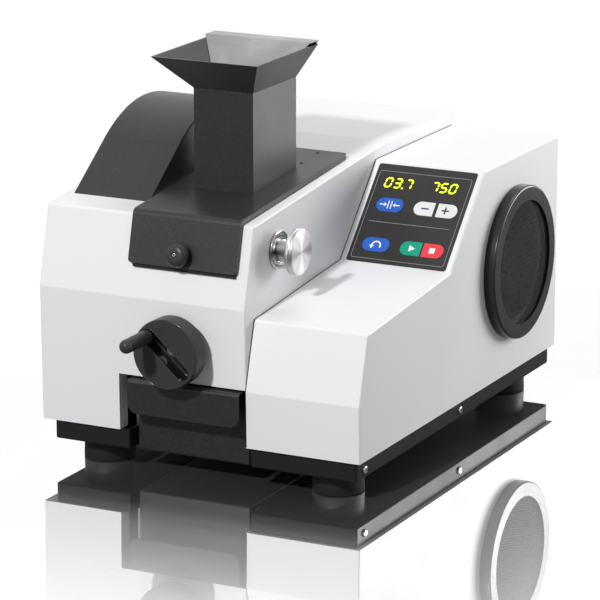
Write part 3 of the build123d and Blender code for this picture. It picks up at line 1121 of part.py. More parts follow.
def lid_knob():
    y, z = front_at(KNOB_S, LID_H)
    seat = Plane(origin=(AXIS_X, y, z), x_dir=(1, 0, 0), z_dir=(0, -cos(FRONT_TILT), sin(FRONT_TILT)))
    head = extrude(Circle(KNOB_R), amount=KNOB_T, dir=(0, 0, 1))
    head = fillet(head.edges().sort_by(Axis.Z)[-1], KNOB_DOME_R)
    head = fillet(head.edges().sort_by(Axis.Z)[0], 1.5)
    floor = KNOB_T - KNOB_BORE
    head -= Pos(0, 0, floor) * extrude(Circle(KNOB_BORE_R), amount=KNOB_BORE + 1, dir=(0, 0, 1))
    head += Pos(0, 0, floor - 0.1) * extrude(Circle(KNOB_SCREW_R), amount=KNOB_BORE * 0.6, dir=(0, 0, 1))
    stem = extrude(Circle(KNOB_STEM_R), amount=KNOB_STEM + 0.1, dir=(0, 0, 1))
    return seat * (stem + Pos(0, 0, KNOB_STEM) * head)


# ------------------------------------------------------------------ lid lock
def lock_bushing():
    """Guide sleeve of the lock plunger with its flange ring and stop pin."""
    body = slab_x(LOCK_SLEEVE_X0, CRUSHER_W + 0.1, disc(LOCK_SLEEVE_R, LOCK_Y, LOCK_Z))
    flange = slab_x(CRUSHER_W, CRUSHER_W + LOCK_RING_T, disc(LOCK_RING_R, LOCK_Y, LOCK_Z))
    flange = fillet(flange.edges().sort_by(Axis.X)[-1], 1.4)
    front = CRUSHER_W + LOCK_RING_T
    flange -= slab_x(front - LOCK_DISH_T, front + 1, disc(LOCK_DISH_R, LOCK_Y, LOCK_Z))
    pin = slab_x(CRUSHER_W + 1, front + LOCK_PIN_L, disc(LOCK_PIN_R, LOCK_Y, LOCK_Z - LOCK_PIN_DROP))
    body += flange + fillet(pin.edges().sort_by(Axis.X)[-1], LOCK_PIN_R - 0.2)
    return body - slab_x(LOCK_SLEEVE_X0 - 1, front + 1, disc(LOCK_NECK_R + RUN_FIT, LOCK_Y, LOCK_Z))


def lock_knob():
    """Push knob with its plunger: pushed in, its bolt goes through the window of the lid's lug."""
    knob = slab_x(LOCK_DISC_X0, LOCK_DISC_X1, disc(LOCK_DISC_R, LOCK_Y, LOCK_Z))
    knob = chamfer(knob.edges().filter_by(GeomType.CIRCLE), 0.8)
    knob += slab_x(LOCK_NECK_X0, LOCK_DISC_X0 + 0.1, disc(LOCK_NECK_R, LOCK_Y, LOCK_Z))
    bolt = slab_x(LOCK_LUG_X1 + LOCK_TIP_GAP, LOCK_NECK_X0 + 0.1, disc(LOCK_BOLT_R, LOCK_Y, LOCK_Z))
    return knob + chamfer(bolt.edges().filter_by(GeomType.CIRCLE).sort_by(Axis.X)[0], 1.2)


# ------------------------------------------------------------------ handwheel and crank
def across_slot(radius, half, x=PIVOT_X, y=PIVOT_Y, z=PIVOT_Z):
    """Cylinder through the pivot, square to the slot."""
    axis = Plane(origin=(x, y, z), z_dir=(SLOT_DIR[1], 0, -SLOT_DIR[0]))
    return axis * (Pos(0, 0, -half) * extrude(Circle(radius), amount=2 * half, dir=(0, 0, 1)))


def slot_cut(y0, y1):
    face = Pos(AXIS_X, WHEEL_Z) * (Rot(0, 0, SLOT_ANGLE) * SlotOverall(
        2 * (SLOT_HALF + SLOT_R), 2 * SLOT_R))
    return slab_y(y0, y1, face)


def handwheel():
    wheel = slab_y(WHEEL_Y0, WHEEL_Y1, disc(WHEEL_R, AXIS_X, WHEEL_Z))
    wheel = fillet(wheel.edges().filter_by(GeomType.CIRCLE), WHEEL_EDGE_R)
    wheel += slab_y(WHEEL_Y1 - 0.1, SLEEVE_Y0 - BOSS_GAP, disc(BOSS_R, AXIS_X, WHEEL_Z))
    floor = WHEEL_Y0 + SLOT_DEPTH
    trough = slot_cut(WHEEL_Y0 - 1, floor)
    wheel -= fillet(trough.faces().sort_by(Axis.Y)[-1].edges(), SLOT_FLOOR_R)
    wheel -= slab_y(floor - 1, floor + HUB_BOLT_H - 0.5, disc(HUB_BOLT_R + 0.5, AXIS_X, WHEEL_Z))
    wheel -= slab_y(floor, SLEEVE_Y0 + 1, disc(SPINDLE_R + RUN_FIT / 2, AXIS_X, WHEEL_Z))
    return wheel - across_slot(PIVOT_PIN_R + 0.02, SLOT_R + 3)


def gap_spindle():
    """Spindle with the hub bolt whose head shows in the slot."""
    floor = WHEEL_Y0 + SLOT_DEPTH
    spindle = slab_y(floor + HUB_BOLT_H - 0.5, SPINDLE_Y1, disc(SPINDLE_R, AXIS_X, WHEEL_Z))
    spindle = chamfer(spindle.edges().filter_by(GeomType.CIRCLE).sort_by(Axis.Y)[-1], 1.5)
    head = slab_y(floor + HUB_BOLT_SINK, floor + HUB_BOLT_H - 0.4, disc(HUB_BOLT_R, AXIS_X, WHEEL_Z))
    head -= Pos(AXIS_X, 0, WHEEL_Z) * slab_y(floor - 1, floor + 2, RegularPolygon(3.2, 6))
    return spindle + head


def crank_pin():
    return across_slot(PIVOT_PIN_R, SLOT_R + 3)


def crank_knuckle():
    """Knuckle on the fold pin, its neck and the core that the grip turns on."""
    knuckle = across_slot(KNUCKLE_R, KNUCKLE_W / 2)
    knuckle += slab_y(GRIP_Y1 + FIT, PIVOT_Y, disc(NECK_R, PIVOT_X, PIVOT_Z))
    knuckle += slab_y(GRIP_Y0 + 7, PIVOT_Y, disc(GRIP_CORE_R, PIVOT_X, PIVOT_Z))
    return knuckle - across_slot(PIVOT_PIN_R + RUN_FIT, KNUCKLE_W)


def crank_grip():
    grip = slab_y(GRIP_Y0, GRIP_Y1, disc(GRIP_R, PIVOT_X, PIVOT_Z))
    grip = fillet(grip.edges().filter_by(GeomType.CIRCLE).sort_by(Axis.Y)[0], GRIP_R - 0.2)
    grip = fillet(grip.edges().filter_by(GeomType.CIRCLE).sort_by(Axis.Y)[-1], 0.8)
    return grip - slab_y(GRIP_Y0 + 6.6, GRIP_Y1 + 1, disc(GRIP_CORE_R + RUN_FIT, PIVOT_X, PIVOT_Z))


# ------------------------------------------------------------------ write every node
NODES = {
    "base_tray": base_tray, "rubber_feet": rubber_feet, "base_screws": base_screws,
    "crusher_cover": crusher_cover, "control_cover": control_cover, "rear_panel": rear_panel,
    "rear_screws": rear_screws, "mains_inlet": mains_inlet, "rocker_switch": rocker_switch,
    "flywheel_guard": flywheel_guard, "fan_ring": fan_ring, "fan_mesh": fan_mesh,
    "control_panel": control_panel, "display_windows": display_windows,
    "circuit_board": circuit_board, "drive_inverter": drive_inverter,
    "drawer_tunnel": drawer_tunnel, "drawer_tray": drawer_tray, "drawer_front": drawer_front,
    "crusher_side_plates": crusher_side_plates, "wear_plates": wear_plates,
    "front_block": front_block, "spindle_bearing": spindle_bearing, "rear_block": rear_block,
    "toggle_plate": toggle_plate, "main_bearings": main_bearings,
    "eccentric_shaft": eccentric_shaft, "flywheel": flywheel, "driven_pulley": driven_pulley,
    "drive_belt": drive_belt, "swing_jaw": swing_jaw, "moving_jaw_plate": moving_jaw_plate,
    "tension_rod": tension_rod, "jaw_carrier": jaw_carrier, "fixed_jaw_plate": fixed_jaw_plate,
    "feed_chute": feed_chute, "motor_housing": motor_housing, "motor_stator": motor_stator,
    "motor_rotor": motor_rotor, "motor_pulley": motor_pulley, "motor_fan": motor_fan,
    "hopper_lid": hopper_lid, "lid_hinge": lid_hinge, "lid_gasket": lid_gasket,
    "feed_hopper": feed_hopper, "hopper_baffle": hopper_baffle, "lid_knob": lid_knob,
    "lock_bushing": lock_bushing, "lock_knob": lock_knob, "handwheel": handwheel,
    "gap_spindle": gap_spindle, "crank_pin": crank_pin, "crank_knuckle": crank_knuckle,
    "crank_grip": crank_grip,
}

# The part's own frame: middle of the whole width and depth, on the surface that the feet stand on.
ORIGIN = Vector((RIGHT_X + RING_T) / 2, (GRIP_Y0 + DEPTH + INLET_T) / 2, -TRAY_H - FOOT_H)

os.makedirs("parts", exist_ok=True)
for name, make in NODES.items():
    export_step(Location(-ORIGIN) * make(), f"parts/{name}.step")
for name, (kind, x, s, split) in KEYS.items():
    export_step(Location(-ORIGIN) * key(kind, x, s, split), f"parts/{name}.step")
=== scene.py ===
# %% [markdown]
# # A bench jaw mill
#
# This is a small crusher for laboratory samples. Two white sheet housings stand on a black base,
# a black hopper sits on a hinged lid, and a handwheel in front sets the gap between the jaws. The
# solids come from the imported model. What this lesson adds is how they look, and the fine pieces
# that a solid model leaves plain: turned steel, woven mesh, key symbols and lit digits.

import bmesh
import bpy
import numpy as np
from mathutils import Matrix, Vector


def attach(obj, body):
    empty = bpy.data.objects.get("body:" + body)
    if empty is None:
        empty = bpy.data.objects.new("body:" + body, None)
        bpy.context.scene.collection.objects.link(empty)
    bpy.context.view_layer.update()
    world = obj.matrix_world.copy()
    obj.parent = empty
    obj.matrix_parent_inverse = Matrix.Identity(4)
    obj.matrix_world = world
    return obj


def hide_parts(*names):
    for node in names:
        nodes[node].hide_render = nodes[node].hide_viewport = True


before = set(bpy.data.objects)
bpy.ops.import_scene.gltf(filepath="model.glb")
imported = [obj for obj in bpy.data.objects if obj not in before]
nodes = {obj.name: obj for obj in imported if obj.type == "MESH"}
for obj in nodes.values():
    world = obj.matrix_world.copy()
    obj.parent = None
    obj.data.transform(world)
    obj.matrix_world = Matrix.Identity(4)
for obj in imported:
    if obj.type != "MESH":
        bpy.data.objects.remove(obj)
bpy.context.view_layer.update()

# %% [markdown]
# ## One set of measures
#
# The housing is easiest to measure in millimetres from its own corner: x to the right from the
# left face, y to the back from the front bend, z up from the housings' lower edge. The packed
# model is in metres around its middle. One small function turns the first into the second, so
# each later number can be read straight off the machine. Wheel, lock, motor and shaft are known
# by their axes, the key panel by the foot and head of its slope in (y, z).

# %% Measures
ORIGIN = np.array((210.0, 236.0, -50.0))
CRUSHER_W, RIGHT_X, AXIS_X = 264.3, 406.0, 181.0
WHEEL_Z, WHEEL_FRONT = 107.5, -34.5
LOCK_Y, LOCK_Z = 82.0, 212.0
MOTOR_Y, MOTOR_Z = 431.0, 136.0
SHAFT_Y, SHAFT_Z = 240.0, 165.0
SLOPE_FOOT, SLOPE_HEAD = np.array((242.0, 164.2)), np.array((338.6, 265.0))
FLOOR_Z, BASE_Z = -50.0, -23.0
TURN = 2 * np.pi


def at(points):
    """Machine millimetres to model metres: take away the model's origin, divide by a thousand."""
    return (np.asarray(points, float) - ORIGIN) / 1000.0


print("housing corner", at((0, 0, 0)).round(4))

# %% [markdown]
# ## The camera
#
# The photograph was taken with a long lens from the front right, a little above. The camera's
# place was worked out once from the housing's corners, and these are the numbers of that fit. A
# long lens keeps the parallel edges of the housings nearly parallel.

# %% Camera
AZIMUTH, ELEVATION = np.radians(26.511), np.radians(14.823)
camera_data = bpy.data.cameras.new("camera")
camera_data.sensor_width = 36.0
camera_data.lens = 214.86
camera_data.clip_end = 40.0
camera = bpy.data.objects.new("camera", camera_data)
camera.location = at((2035.4, -3412.9, 1190.1))
camera.rotation_euler = (np.pi / 2 - ELEVATION, 0.0, AZIMUTH)
bpy.context.scene.collection.objects.link(camera)
bpy.context.scene.camera = camera
print("camera", [round(v, 3) for v in camera.location])

# %% [markdown]
# ## Nodes with less typing
#
# Every finish below is a small tree of shader nodes. Writing each node by hand takes four lines,
# so helpers do it. One adds a node and fills its sockets, one ties an output to an input, one does
# sums, and one starts a group of nodes that several finishes can share.

# %% Node helpers
def add(tree, kind, settings=None, **sockets):
    """Add one node, set its properties, then its input values (underscores stand for spaces)."""
    node = tree.nodes.new(kind)
    for name, value in (settings or {}).items():
        setattr(node, name, value)
    for name, value in sockets.items():
        node.inputs[name.replace("_", " ")].default_value = value
    return node


def tie(tree, source, output, target, socket):
    """Link an output, by name or number, to an input, by name or number."""
    tree.links.new(source.outputs[output], target.inputs[socket])


def maths(tree, operation, first, second=None):
    """A Math node: each operand is a number or a (node, output) pair. Returns its own pair."""
    node = add(tree, "ShaderNodeMath", {"operation": operation})
    for number, operand in enumerate((first, second)):
        if isinstance(operand, tuple):
            tie(tree, *operand, node, number)
        elif operand is not None:
            node.inputs[number].default_value = operand
    return node, 0


def new_group(name, inputs, outputs):
    """An empty node group with named float or vector sockets, and its two end nodes."""
    group = bpy.data.node_groups.new(name, "ShaderNodeTree")
    for label, kind, value in inputs:
        socket = group.interface.new_socket(name=label, in_out="INPUT", socket_type=kind)
        if kind == "NodeSocketFloat":
            socket.default_value = value
    for label in outputs:
        group.interface.new_socket(name=label, in_out="OUTPUT", socket_type="NodeSocketFloat")
    return group, group.nodes.new("NodeGroupInput"), group.nodes.new("NodeGroupOutput")


print("node helpers ready")

# %% [markdown]
# A Mix node keeps one set of sockets for each kind of data. The colour set has numbers instead of
# names, so these are written down once. The finishes below use the mix to go between two tones.

# %% Materials and colour mixes
MIX_A, MIX_B, MIX_COLOUR = 6, 7, 2


def new_material(name, **shader):
    """A material with these values on its Principled shader; gives it, its tree and the shader."""
    material = bpy.data.materials.new(name)
    material.use_nodes = True
    bsdf = material.node_tree.nodes["Principled BSDF"]
    for socket, value in shader.items():
        bsdf.inputs[socket.replace("_", " ")].default_value = value
    return material, material.node_tree, bsdf


def mix_colours(tree, first=None, second=None):
    """A Mix node: the first colour at factor 0, the second at factor 1."""
    node = add(tree, "ShaderNodeMix", {"data_type": "RGBA"})
    for socket, colour in ((MIX_A, first), (MIX_B, second)):
        if colour is not None:
            node.inputs[socket].default_value = (*colour, 1.0)
    return node


def shade(colour, factor):
    """The same colour, times a factor."""
    return tuple(part * factor for part in colour)


print("half of white is", shade((1.0, 1.0, 1.0), 0.5))

# %% [markdown]
# ## Effects that several finishes share
#
# Powder paint has a fine orange peel. Moulded plastic and rubber are stippled. Sheet steel is
# brushed one way, and turned steel has rings. No surface is evenly clean either: hands leave
# slow, cloudy changes of gloss. Each of these is a group that puts out a height or a mask between
# 0 and 1.

# %% Group: fine grain
def build_grain():
    """Fine noise for the grain, plus `waves` times a noise with 0.22 of its scale."""
    inputs = [("Scale", "NodeSocketFloat", 900.0), ("Waves", "NodeSocketFloat", 0.4)]
    group, start, end = new_group("fine_grain", inputs, ["Height", "Speckle"])
    place = add(group, "ShaderNodeTexCoord")
    fine = add(group, "ShaderNodeTexNoise", Detail=2.0)
    slow = add(group, "ShaderNodeTexNoise", Detail=1.0)
    tie(group, place, "Object", fine, "Vector")
    tie(group, place, "Object", slow, "Vector")
    tie(group, start, "Scale", fine, "Scale")
    slow_scale = maths(group, "MULTIPLY", (start, "Scale"), 0.22)
    tie(group, *slow_scale, slow, "Scale")
    waves = maths(group, "MULTIPLY", (slow, 0), (start, "Waves"))
    height = maths(group, "ADD", (fine, 0), waves)
    tie(group, *height, end, "Height")
    speckle = add(group, "ShaderNodeMapRange", From_Min=0.54, From_Max=0.68)
    tie(group, fine, 0, speckle, "Value")
    tie(group, speckle, 0, end, "Speckle")
    return group


GRAIN = build_grain()
print("group", GRAIN.name)

# %% Group: handling marks
def build_handling():
    """A cloudy mask, low where hands and cloths pass and high where dust stays."""
    group, start, end = new_group("handling", [("Scale", "NodeSocketFloat", 9.0)], ["Mask"])
    place = add(group, "ShaderNodeTexCoord")
    cloud = add(group, "ShaderNodeTexNoise", Detail=4.0, Roughness=0.55, Distortion=0.4)
    spread = add(group, "ShaderNodeMapRange", From_Min=0.32, From_Max=0.7)
    tie(group, place, "Object", cloud, "Vector")
    tie(group, start, "Scale", cloud, "Scale")
    tie(group, cloud, 0, spread, "Value")
    tie(group, spread, 0, end, "Mask")
    return group


HANDLING = build_handling()
print("group", HANDLING.name)

# %% Group: brushed lines
def build_brushed():
    """Noise of the vector times (0.6, 26, 26), so that it reads as long scratches along x."""
    inputs = [("Vector", "NodeSocketVector", None), ("Scale", "NodeSocketFloat", 40.0)]
    group, start, end = new_group("brushed_lines", inputs, ["Height"])
    squeeze = add(group, "ShaderNodeVectorMath", {"operation": "MULTIPLY"})
    squeeze.inputs[1].default_value = (0.6, 26.0, 26.0)
    lines = add(group, "ShaderNodeTexNoise", Detail=3.0, Roughness=0.6)
    tie(group, start, "Vector", squeeze, 0)
    tie(group, squeeze, 0, lines, "Vector")
    tie(group, start, "Scale", lines, "Scale")
    tie(group, lines, 0, end, "Height")
    return group


BRUSHED = build_brushed()
print("group", BRUSHED.name)

# %% Group: turned rings
def build_rings():
    """Distance from the x axis of the vector, fed to a noise: the marks that a lathe leaves."""
    inputs = [("Vector", "NodeSocketVector", None), ("Scale", "NodeSocketFloat", 2500.0)]
    group, start, end = new_group("turned_rings", inputs, ["Height"])
    flat = add(group, "ShaderNodeVectorMath", {"operation": "MULTIPLY"})
    flat.inputs[1].default_value = (0.0, 1.0, 1.0)
    reach = add(group, "ShaderNodeVectorMath", {"operation": "LENGTH"})
    rings = add(group, "ShaderNodeTexNoise", {"noise_dimensions": "1D"}, Detail=3.0)
    tie(group, start, "Vector", flat, 0)
    tie(group, flat, 0, reach, 0)
    tie(group, reach, "Value", rings, "W")
    tie(group, start, "Scale", rings, "Scale")
    tie(group, rings, 0, end, "Height")
    return group


RINGS = build_rings()
print("group", RINGS.name)

# %% Group: painted highlight wedges of turned steel
def build_highlight_wedges():
    """Painted highlight: light wedges of a turned disc, 0.5 + 0.32 cos 2a + 0.18 cos 6a, a from up.
    """
    group, start, end = new_group("painted_highlight_wedges", [("Vector", "NodeSocketVector", None)], ["Mask"])
    parts = add(group, "ShaderNodeSeparateXYZ")
    tie(group, start, "Vector", parts, 0)
    angle = maths(group, "ARCTAN2", (parts, 1), (parts, 2))
    total = 0.5
    for times, share in ((2.0, 0.32), (6.0, 0.18)):
        wave = maths(group, "COSINE", maths(group, "MULTIPLY", angle, times))
        total = maths(group, "ADD", maths(group, "MULTIPLY", wave, share), total)
    tie(group, *total, end, "Mask")
    return group


HIGHLIGHT_WEDGES = build_highlight_wedges()
print("group", HIGHLIGHT_WEDGES.name)

# %% [markdown]
# ## Finishes
#
# A painted, moulded or rubber surface is the same recipe with other numbers: one colour that
# shifts a little with handling, a roughness that shifts with it, and the grain as a bump. So one
# function makes them all. Steel gets its own, because its direction matters.

# %% Painted, moulded and rubber finishes
def coat(name, colour, roughness, grain, speckle=0.0, shift=0.06, slow=9.0, **shader):
    """Handling takes the colour to (1 - shift) times itself and the roughness from 0.05 less to
    0.06 more, and `slow` is its scale. Grain is (scale, bump); grains lighten by `speckle`."""
    material, tree, bsdf = new_material(name, **shader)
    scale, height = grain
    handled = add(tree, "ShaderNodeGroup", {"node_tree": HANDLING}, Scale=slow)
    grains = add(tree, "ShaderNodeGroup", {"node_tree": GRAIN}, Scale=scale)
    tone = mix_colours(tree, colour, shade(colour, 1.0 - shift))
    tie(tree, handled, 0, tone, 0)
    lit = [min(1.0, part * (1.0 + 6.0 * speckle) + 0.06 * speckle) for part in colour]
    glint = mix_colours(tree, second=lit)
    tie(tree, tone, MIX_COLOUR, glint, MIX_A)
    tie(tree, grains, "Speckle", glint, 0)
    tie(tree, glint, MIX_COLOUR, bsdf, "Base Color")
    rough = add(tree, "ShaderNodeMapRange", To_Min=roughness - 0.05, To_Max=roughness + 0.06)
    tie(tree, handled, 0, rough, "Value")
    tie(tree, rough, 0, bsdf, "Roughness")
    bump = add(tree, "ShaderNodeBump", Strength=height, Distance=0.0004)
    tie(tree, grains, "Height", bump, "Height")
    tie(tree, bump, 0, bsdf, "Normal")
    return material


white_powder = coat("white_powder", (0.80, 0.81, 0.825), 0.42, (1500.0, 0.06), shift=0.015)
black_powder = coat("black_powder", (0.0160, 0.0151, 0.0150), 0.36, (1700.0, 0.26), speckle=0.3,
                    shift=0.1, Specular_IOR_Level=0.4)
base_black = coat("base_black", (0.0165, 0.0155, 0.0153), 0.38, (1500.0, 0.16), speckle=0.15,
                  shift=0.12, Specular_IOR_Level=0.12)
ring_black = coat("ring_black", (0.0185, 0.0176, 0.0176), 0.24, (1500.0, 0.04), shift=0.15,
                  Specular_IOR_Level=0.32)
mesh_black = coat("mesh_black", (0.034, 0.0325, 0.032), 0.5, (2000.0, 0.1), shift=0.2,
                  Specular_IOR_Level=0.12)
wheel_black = coat("wheel_black", (0.040, 0.0385, 0.0385), 0.36, (1300.0, 0.08), shift=0.12,
                   slow=30.0, Specular_IOR_Level=0.22)
edge_black = coat("edge_black", (0.03, 0.029, 0.029), 0.2, (1300.0, 0.02), shift=0.12, slow=30.0)
rubber_black = coat("rubber_black", (0.0135, 0.0128, 0.0125), 0.6, (900.0, 0.2), shift=0.2,
                    slow=25.0, Specular_IOR_Level=0.25)
foam_black = coat("foam_black", (0.012, 0.012, 0.012), 0.9, (500.0, 0.6), shift=0.2)
belt_black = coat("belt_black", (0.02, 0.02, 0.02), 0.7, (600.0, 0.3), shift=0.3)
fan_grey = coat("fan_grey", (0.05, 0.05, 0.052), 0.45, (900.0, 0.1), shift=0.1)
inlet_black = coat("inlet_black", (0.016, 0.016, 0.017), 0.4, (1000.0, 0.12), shift=0.1, slow=30.0)
panel_foil = coat("panel_foil", (0.030, 0.0292, 0.029), 0.3, (2200.0, 0.04), shift=0.1, slow=20.0,
                  Specular_IOR_Level=0.3)
window_dark = coat("window_dark", (0.0288, 0.0281, 0.0278), 0.3, (2200.0, 0.04), shift=0.1,
                   slow=20.0, Specular_IOR_Level=0.3)
board_green = coat("board_green", (0.02, 0.12, 0.06), 0.4, (1200.0, 0.1), shift=0.2)
KEY_GRAIN = (2200.0, 0.05)
key_blue = coat("key_blue", (0.014, 0.105, 0.50), 0.36, KEY_GRAIN, slow=40.0)
key_white = coat("key_white", (0.74, 0.74, 0.76), 0.36, KEY_GRAIN, shift=0.03, slow=40.0)
key_green = coat("key_green", (0.0, 0.30, 0.19), 0.36, KEY_GRAIN, slow=40.0)
key_red = coat("key_red", (0.75, 0.04, 0.06), 0.36, KEY_GRAIN, slow=40.0)
print("coats", len(bpy.data.materials))

# %% [markdown]
# The handwheel's slot is smoother inside than the wheel's face, and it is painted darker as shade
# in the recess. Two tests on the place of a point make the mask: near enough to the wheel's axis,
# and deep enough behind its face.

# %% The handwheel's slot
def slot_shade_and_gloss(material, centre, radius, depth, colour, roughness):
    """Closer than `radius` to a y axis and deeper than `depth`: painted shade as another colour,
    and another roughness.
    """
    tree = material.node_tree
    bsdf = tree.nodes["Principled BSDF"]
    place = add(tree, "ShaderNodeTexCoord")
    mapping = add(tree, "ShaderNodeMapping", {"vector_type": "TEXTURE"}, Location=tuple(at(centre)))
    parts = add(tree, "ShaderNodeSeparateXYZ")
    tie(tree, place, "Object", mapping, "Vector")
    tie(tree, mapping, 0, parts, 0)
    squares = [maths(tree, "MULTIPLY", (parts, k), (parts, k)) for k in (0, 2)]
    near = maths(tree, "LESS_THAN", maths(tree, "ADD", *squares), (radius / 1000) ** 2)
    deep = maths(tree, "GREATER_THAN", (parts, 1), depth / 1000)
    mask = maths(tree, "MULTIPLY", near, deep)
    tone = mix_colours(tree, second=colour)
    rough = add(tree, "ShaderNodeMix", {"data_type": "FLOAT"}, B=roughness)
    for socket, mix, first, out in (("Base Color", tone, MIX_A, MIX_COLOUR),
                                    ("Roughness", rough, "A", 0)):
        tree.links.new(bsdf.inputs[socket].links[0].from_socket, mix.inputs[first])
        tie(tree, *mask, mix, 0)
        tie(tree, mix, out, bsdf, socket)


# Painted shade: inside the slot the colour is much darker than on the face, as well as glossier.
SLOT_DEPTH = 1.2
slot_shade_and_gloss(wheel_black, (AXIS_X, WHEEL_FRONT, WHEEL_Z), radius=38.4, depth=SLOT_DEPTH,
       colour=(0.012, 0.012, 0.0125), roughness=0.16)
print("the slot's walls are glossy from", SLOT_DEPTH, "mm down")

# %% [markdown]
# Bare steel has marks with a direction: brushed along x, or turned about an axis. On a turned face
# the highlight gathers in wedges, and here it is painted into the colour, fixed as seen from the
# front.

# %% Metals
def metal(name, colour, roughness, pattern=BRUSHED, centre=ORIGIN, turn=(0, 0, 0), scale=40.0,
          depth=0.15, wear=0.08, cloudy=25.0, painted_sheen=0.0):
    """Bare metal. Handling takes the colour to (1 - wear) times itself, the pattern is the bump and
    moves the roughness by 0.08 both ways, and the sheen share darkens the colour between painted
    highlight wedges."""
    material, tree, bsdf = new_material(name, Metallic=1.0)
    place = add(tree, "ShaderNodeTexCoord")
    mapping = add(tree, "ShaderNodeMapping", {"vector_type": "TEXTURE"}, Location=tuple(at(centre)),
                  Rotation=turn)
    tie(tree, place, "Object", mapping, "Vector")
    lines = add(tree, "ShaderNodeGroup", {"node_tree": pattern}, Scale=scale)
    tie(tree, mapping, 0, lines, "Vector")
    handled = add(tree, "ShaderNodeGroup", {"node_tree": HANDLING}, Scale=cloudy)
    tone = mix_colours(tree, colour, shade(colour, 1.0 - wear))
    tie(tree, handled, 0, tone, 0)
    # Painted highlight: between light wedges about the axis the colour is darker by the sheen
    # share.
    if painted_sheen:
        wedges = add(tree, "ShaderNodeGroup", {"node_tree": HIGHLIGHT_WEDGES})
        tie(tree, mapping, 0, wedges, "Vector")
        plain, tone = tone, mix_colours(tree, shade(colour, 1.0 - painted_sheen))
        tie(tree, plain, MIX_COLOUR, tone, MIX_B)
        tie(tree, wedges, 0, tone, 0)
    tie(tree, tone, MIX_COLOUR, bsdf, "Base Color")
    rough = add(tree, "ShaderNodeMapRange", To_Min=roughness - 0.08, To_Max=roughness + 0.08)
    tie(tree, lines, 0, rough, "Value")
    tie(tree, rough, 0, bsdf, "Roughness")
    bump = add(tree, "ShaderNodeBump", Strength=depth, Distance=0.0002)
    tie(tree, lines, 0, bump, "Height")
    tie(tree, bump, 0, bsdf, "Normal")
    return material


LOCK_AXIS = (0, LOCK_Y, LOCK_Z)
SHAFT_AXIS, MOTOR_AXIS = (0, SHAFT_Y, SHAFT_Z), (0, MOTOR_Y, MOTOR_Z)
brushed_steel = metal("brushed_steel", (0.5, 0.5, 0.5), 0.3, depth=0.2)
# The lock knob and the chrome parts get painted highlight wedges on their colour.
lock_steel = metal("lock_steel", (0.86, 0.86, 0.855), 0.34, RINGS, LOCK_AXIS, scale=2600.0,
                   depth=0.25, painted_sheen=0.62)
chrome = metal("chrome", (0.66, 0.66, 0.66), 0.2, RINGS, LOCK_AXIS, scale=900.0, depth=0.03,
               painted_sheen=0.7)
baffle_steel = metal("baffle_steel", (0.42, 0.42, 0.424), 0.3, turn=(0.0, np.pi / 2, 0.0),
                     scale=26.0, depth=0.5, wear=0.42, cloudy=9.0)
zinc = metal("zinc", (0.52, 0.53, 0.55), 0.32, scale=60.0, depth=0.1, wear=0.2)
screw_steel = metal("screw_steel", (0.62, 0.61, 0.6), 0.2, scale=90.0, depth=0.06)
jaw_steel = metal("jaw_steel", (0.3, 0.29, 0.28), 0.42, scale=30.0, depth=0.5, wear=0.3)
ground_steel = metal("ground_steel", (0.55, 0.55, 0.55), 0.25, RINGS, SHAFT_AXIS, scale=900.0)
cast_alloy = metal("cast_alloy", (0.5, 0.51, 0.52), 0.45, scale=20.0, depth=0.3, wear=0.15)
copper_wire = metal("copper_wire", (0.62, 0.3, 0.13), 0.35, RINGS, MOTOR_AXIS, scale=700.0,
                    depth=0.5)
cast_iron = coat("cast_iron", (0.07, 0.072, 0.075), 0.55, (500.0, 0.5), shift=0.25, slow=14.0,
                 Metallic=0.35)
print("metals ready,", len(bpy.data.materials), "materials in all")

# %% [markdown]
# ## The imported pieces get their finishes
#
# A piece whose shape is right keeps its solid, and only its material changes. The table goes by
# finish, because that is how a paint shop would sort the pieces.

# %% Assign finishes
FINISHES = {
    white_powder: "crusher_cover control_cover rear_panel",
    black_powder: "hopper_lid feed_hopper flywheel_guard drawer_front drawer_tray",
    base_black: "base_tray",
    ring_black: "fan_ring",
    mesh_black: "fan_mesh",
    wheel_black: "handwheel crank_grip lid_knob",
    rubber_black: "rubber_feet",
    foam_black: "lid_gasket",
    belt_black: "drive_belt",
    fan_grey: "motor_fan",
    inlet_black: "mains_inlet rocker_switch",
    panel_foil: "control_panel",
    window_dark: "display_windows",
    board_green: "circuit_board",
    key_blue: "key_reset key_reverse",
    key_white: "key_minus key_plus",
    key_green: "key_start",
    key_red: "key_stop",
    baffle_steel: "hopper_baffle",
    brushed_steel: "feed_chute gap_spindle crank_pin lid_hinge",
    lock_steel: "lock_knob",
    chrome: "lock_bushing crank_knuckle",
    zinc: "drawer_tunnel tension_rod",
    screw_steel: "base_screws rear_screws",
    jaw_steel: "fixed_jaw_plate moving_jaw_plate wear_plates toggle_plate",
    ground_steel: "eccentric_shaft main_bearings spindle_bearing motor_rotor",
    cast_alloy: "motor_housing drive_inverter",
    copper_wire: "motor_stator",
    cast_iron: "crusher_side_plates front_block rear_block jaw_carrier swing_jaw flywheel "
               "driven_pulley motor_pulley",
}
finished = set()
for material, names in FINISHES.items():
    for name in names.split():
        for holder in nodes[name].material_slots:
            holder.material = material
        finished.add(name)
print("without a finish:", sorted(set(nodes) - finished))

# %% [markdown]
# ## Surfaces from grids
#
# A turned knob, a wire or a printed line is a grid of points in disguise: two parameters, one
# point for each pair. numpy works out the whole grid at once, and two helpers turn it into a
# mesh. Points that fall together at a pole or a seam are merged, so that each piece is closed.
# Three more helpers round a corner, turn a profile and close a stack of tubes.

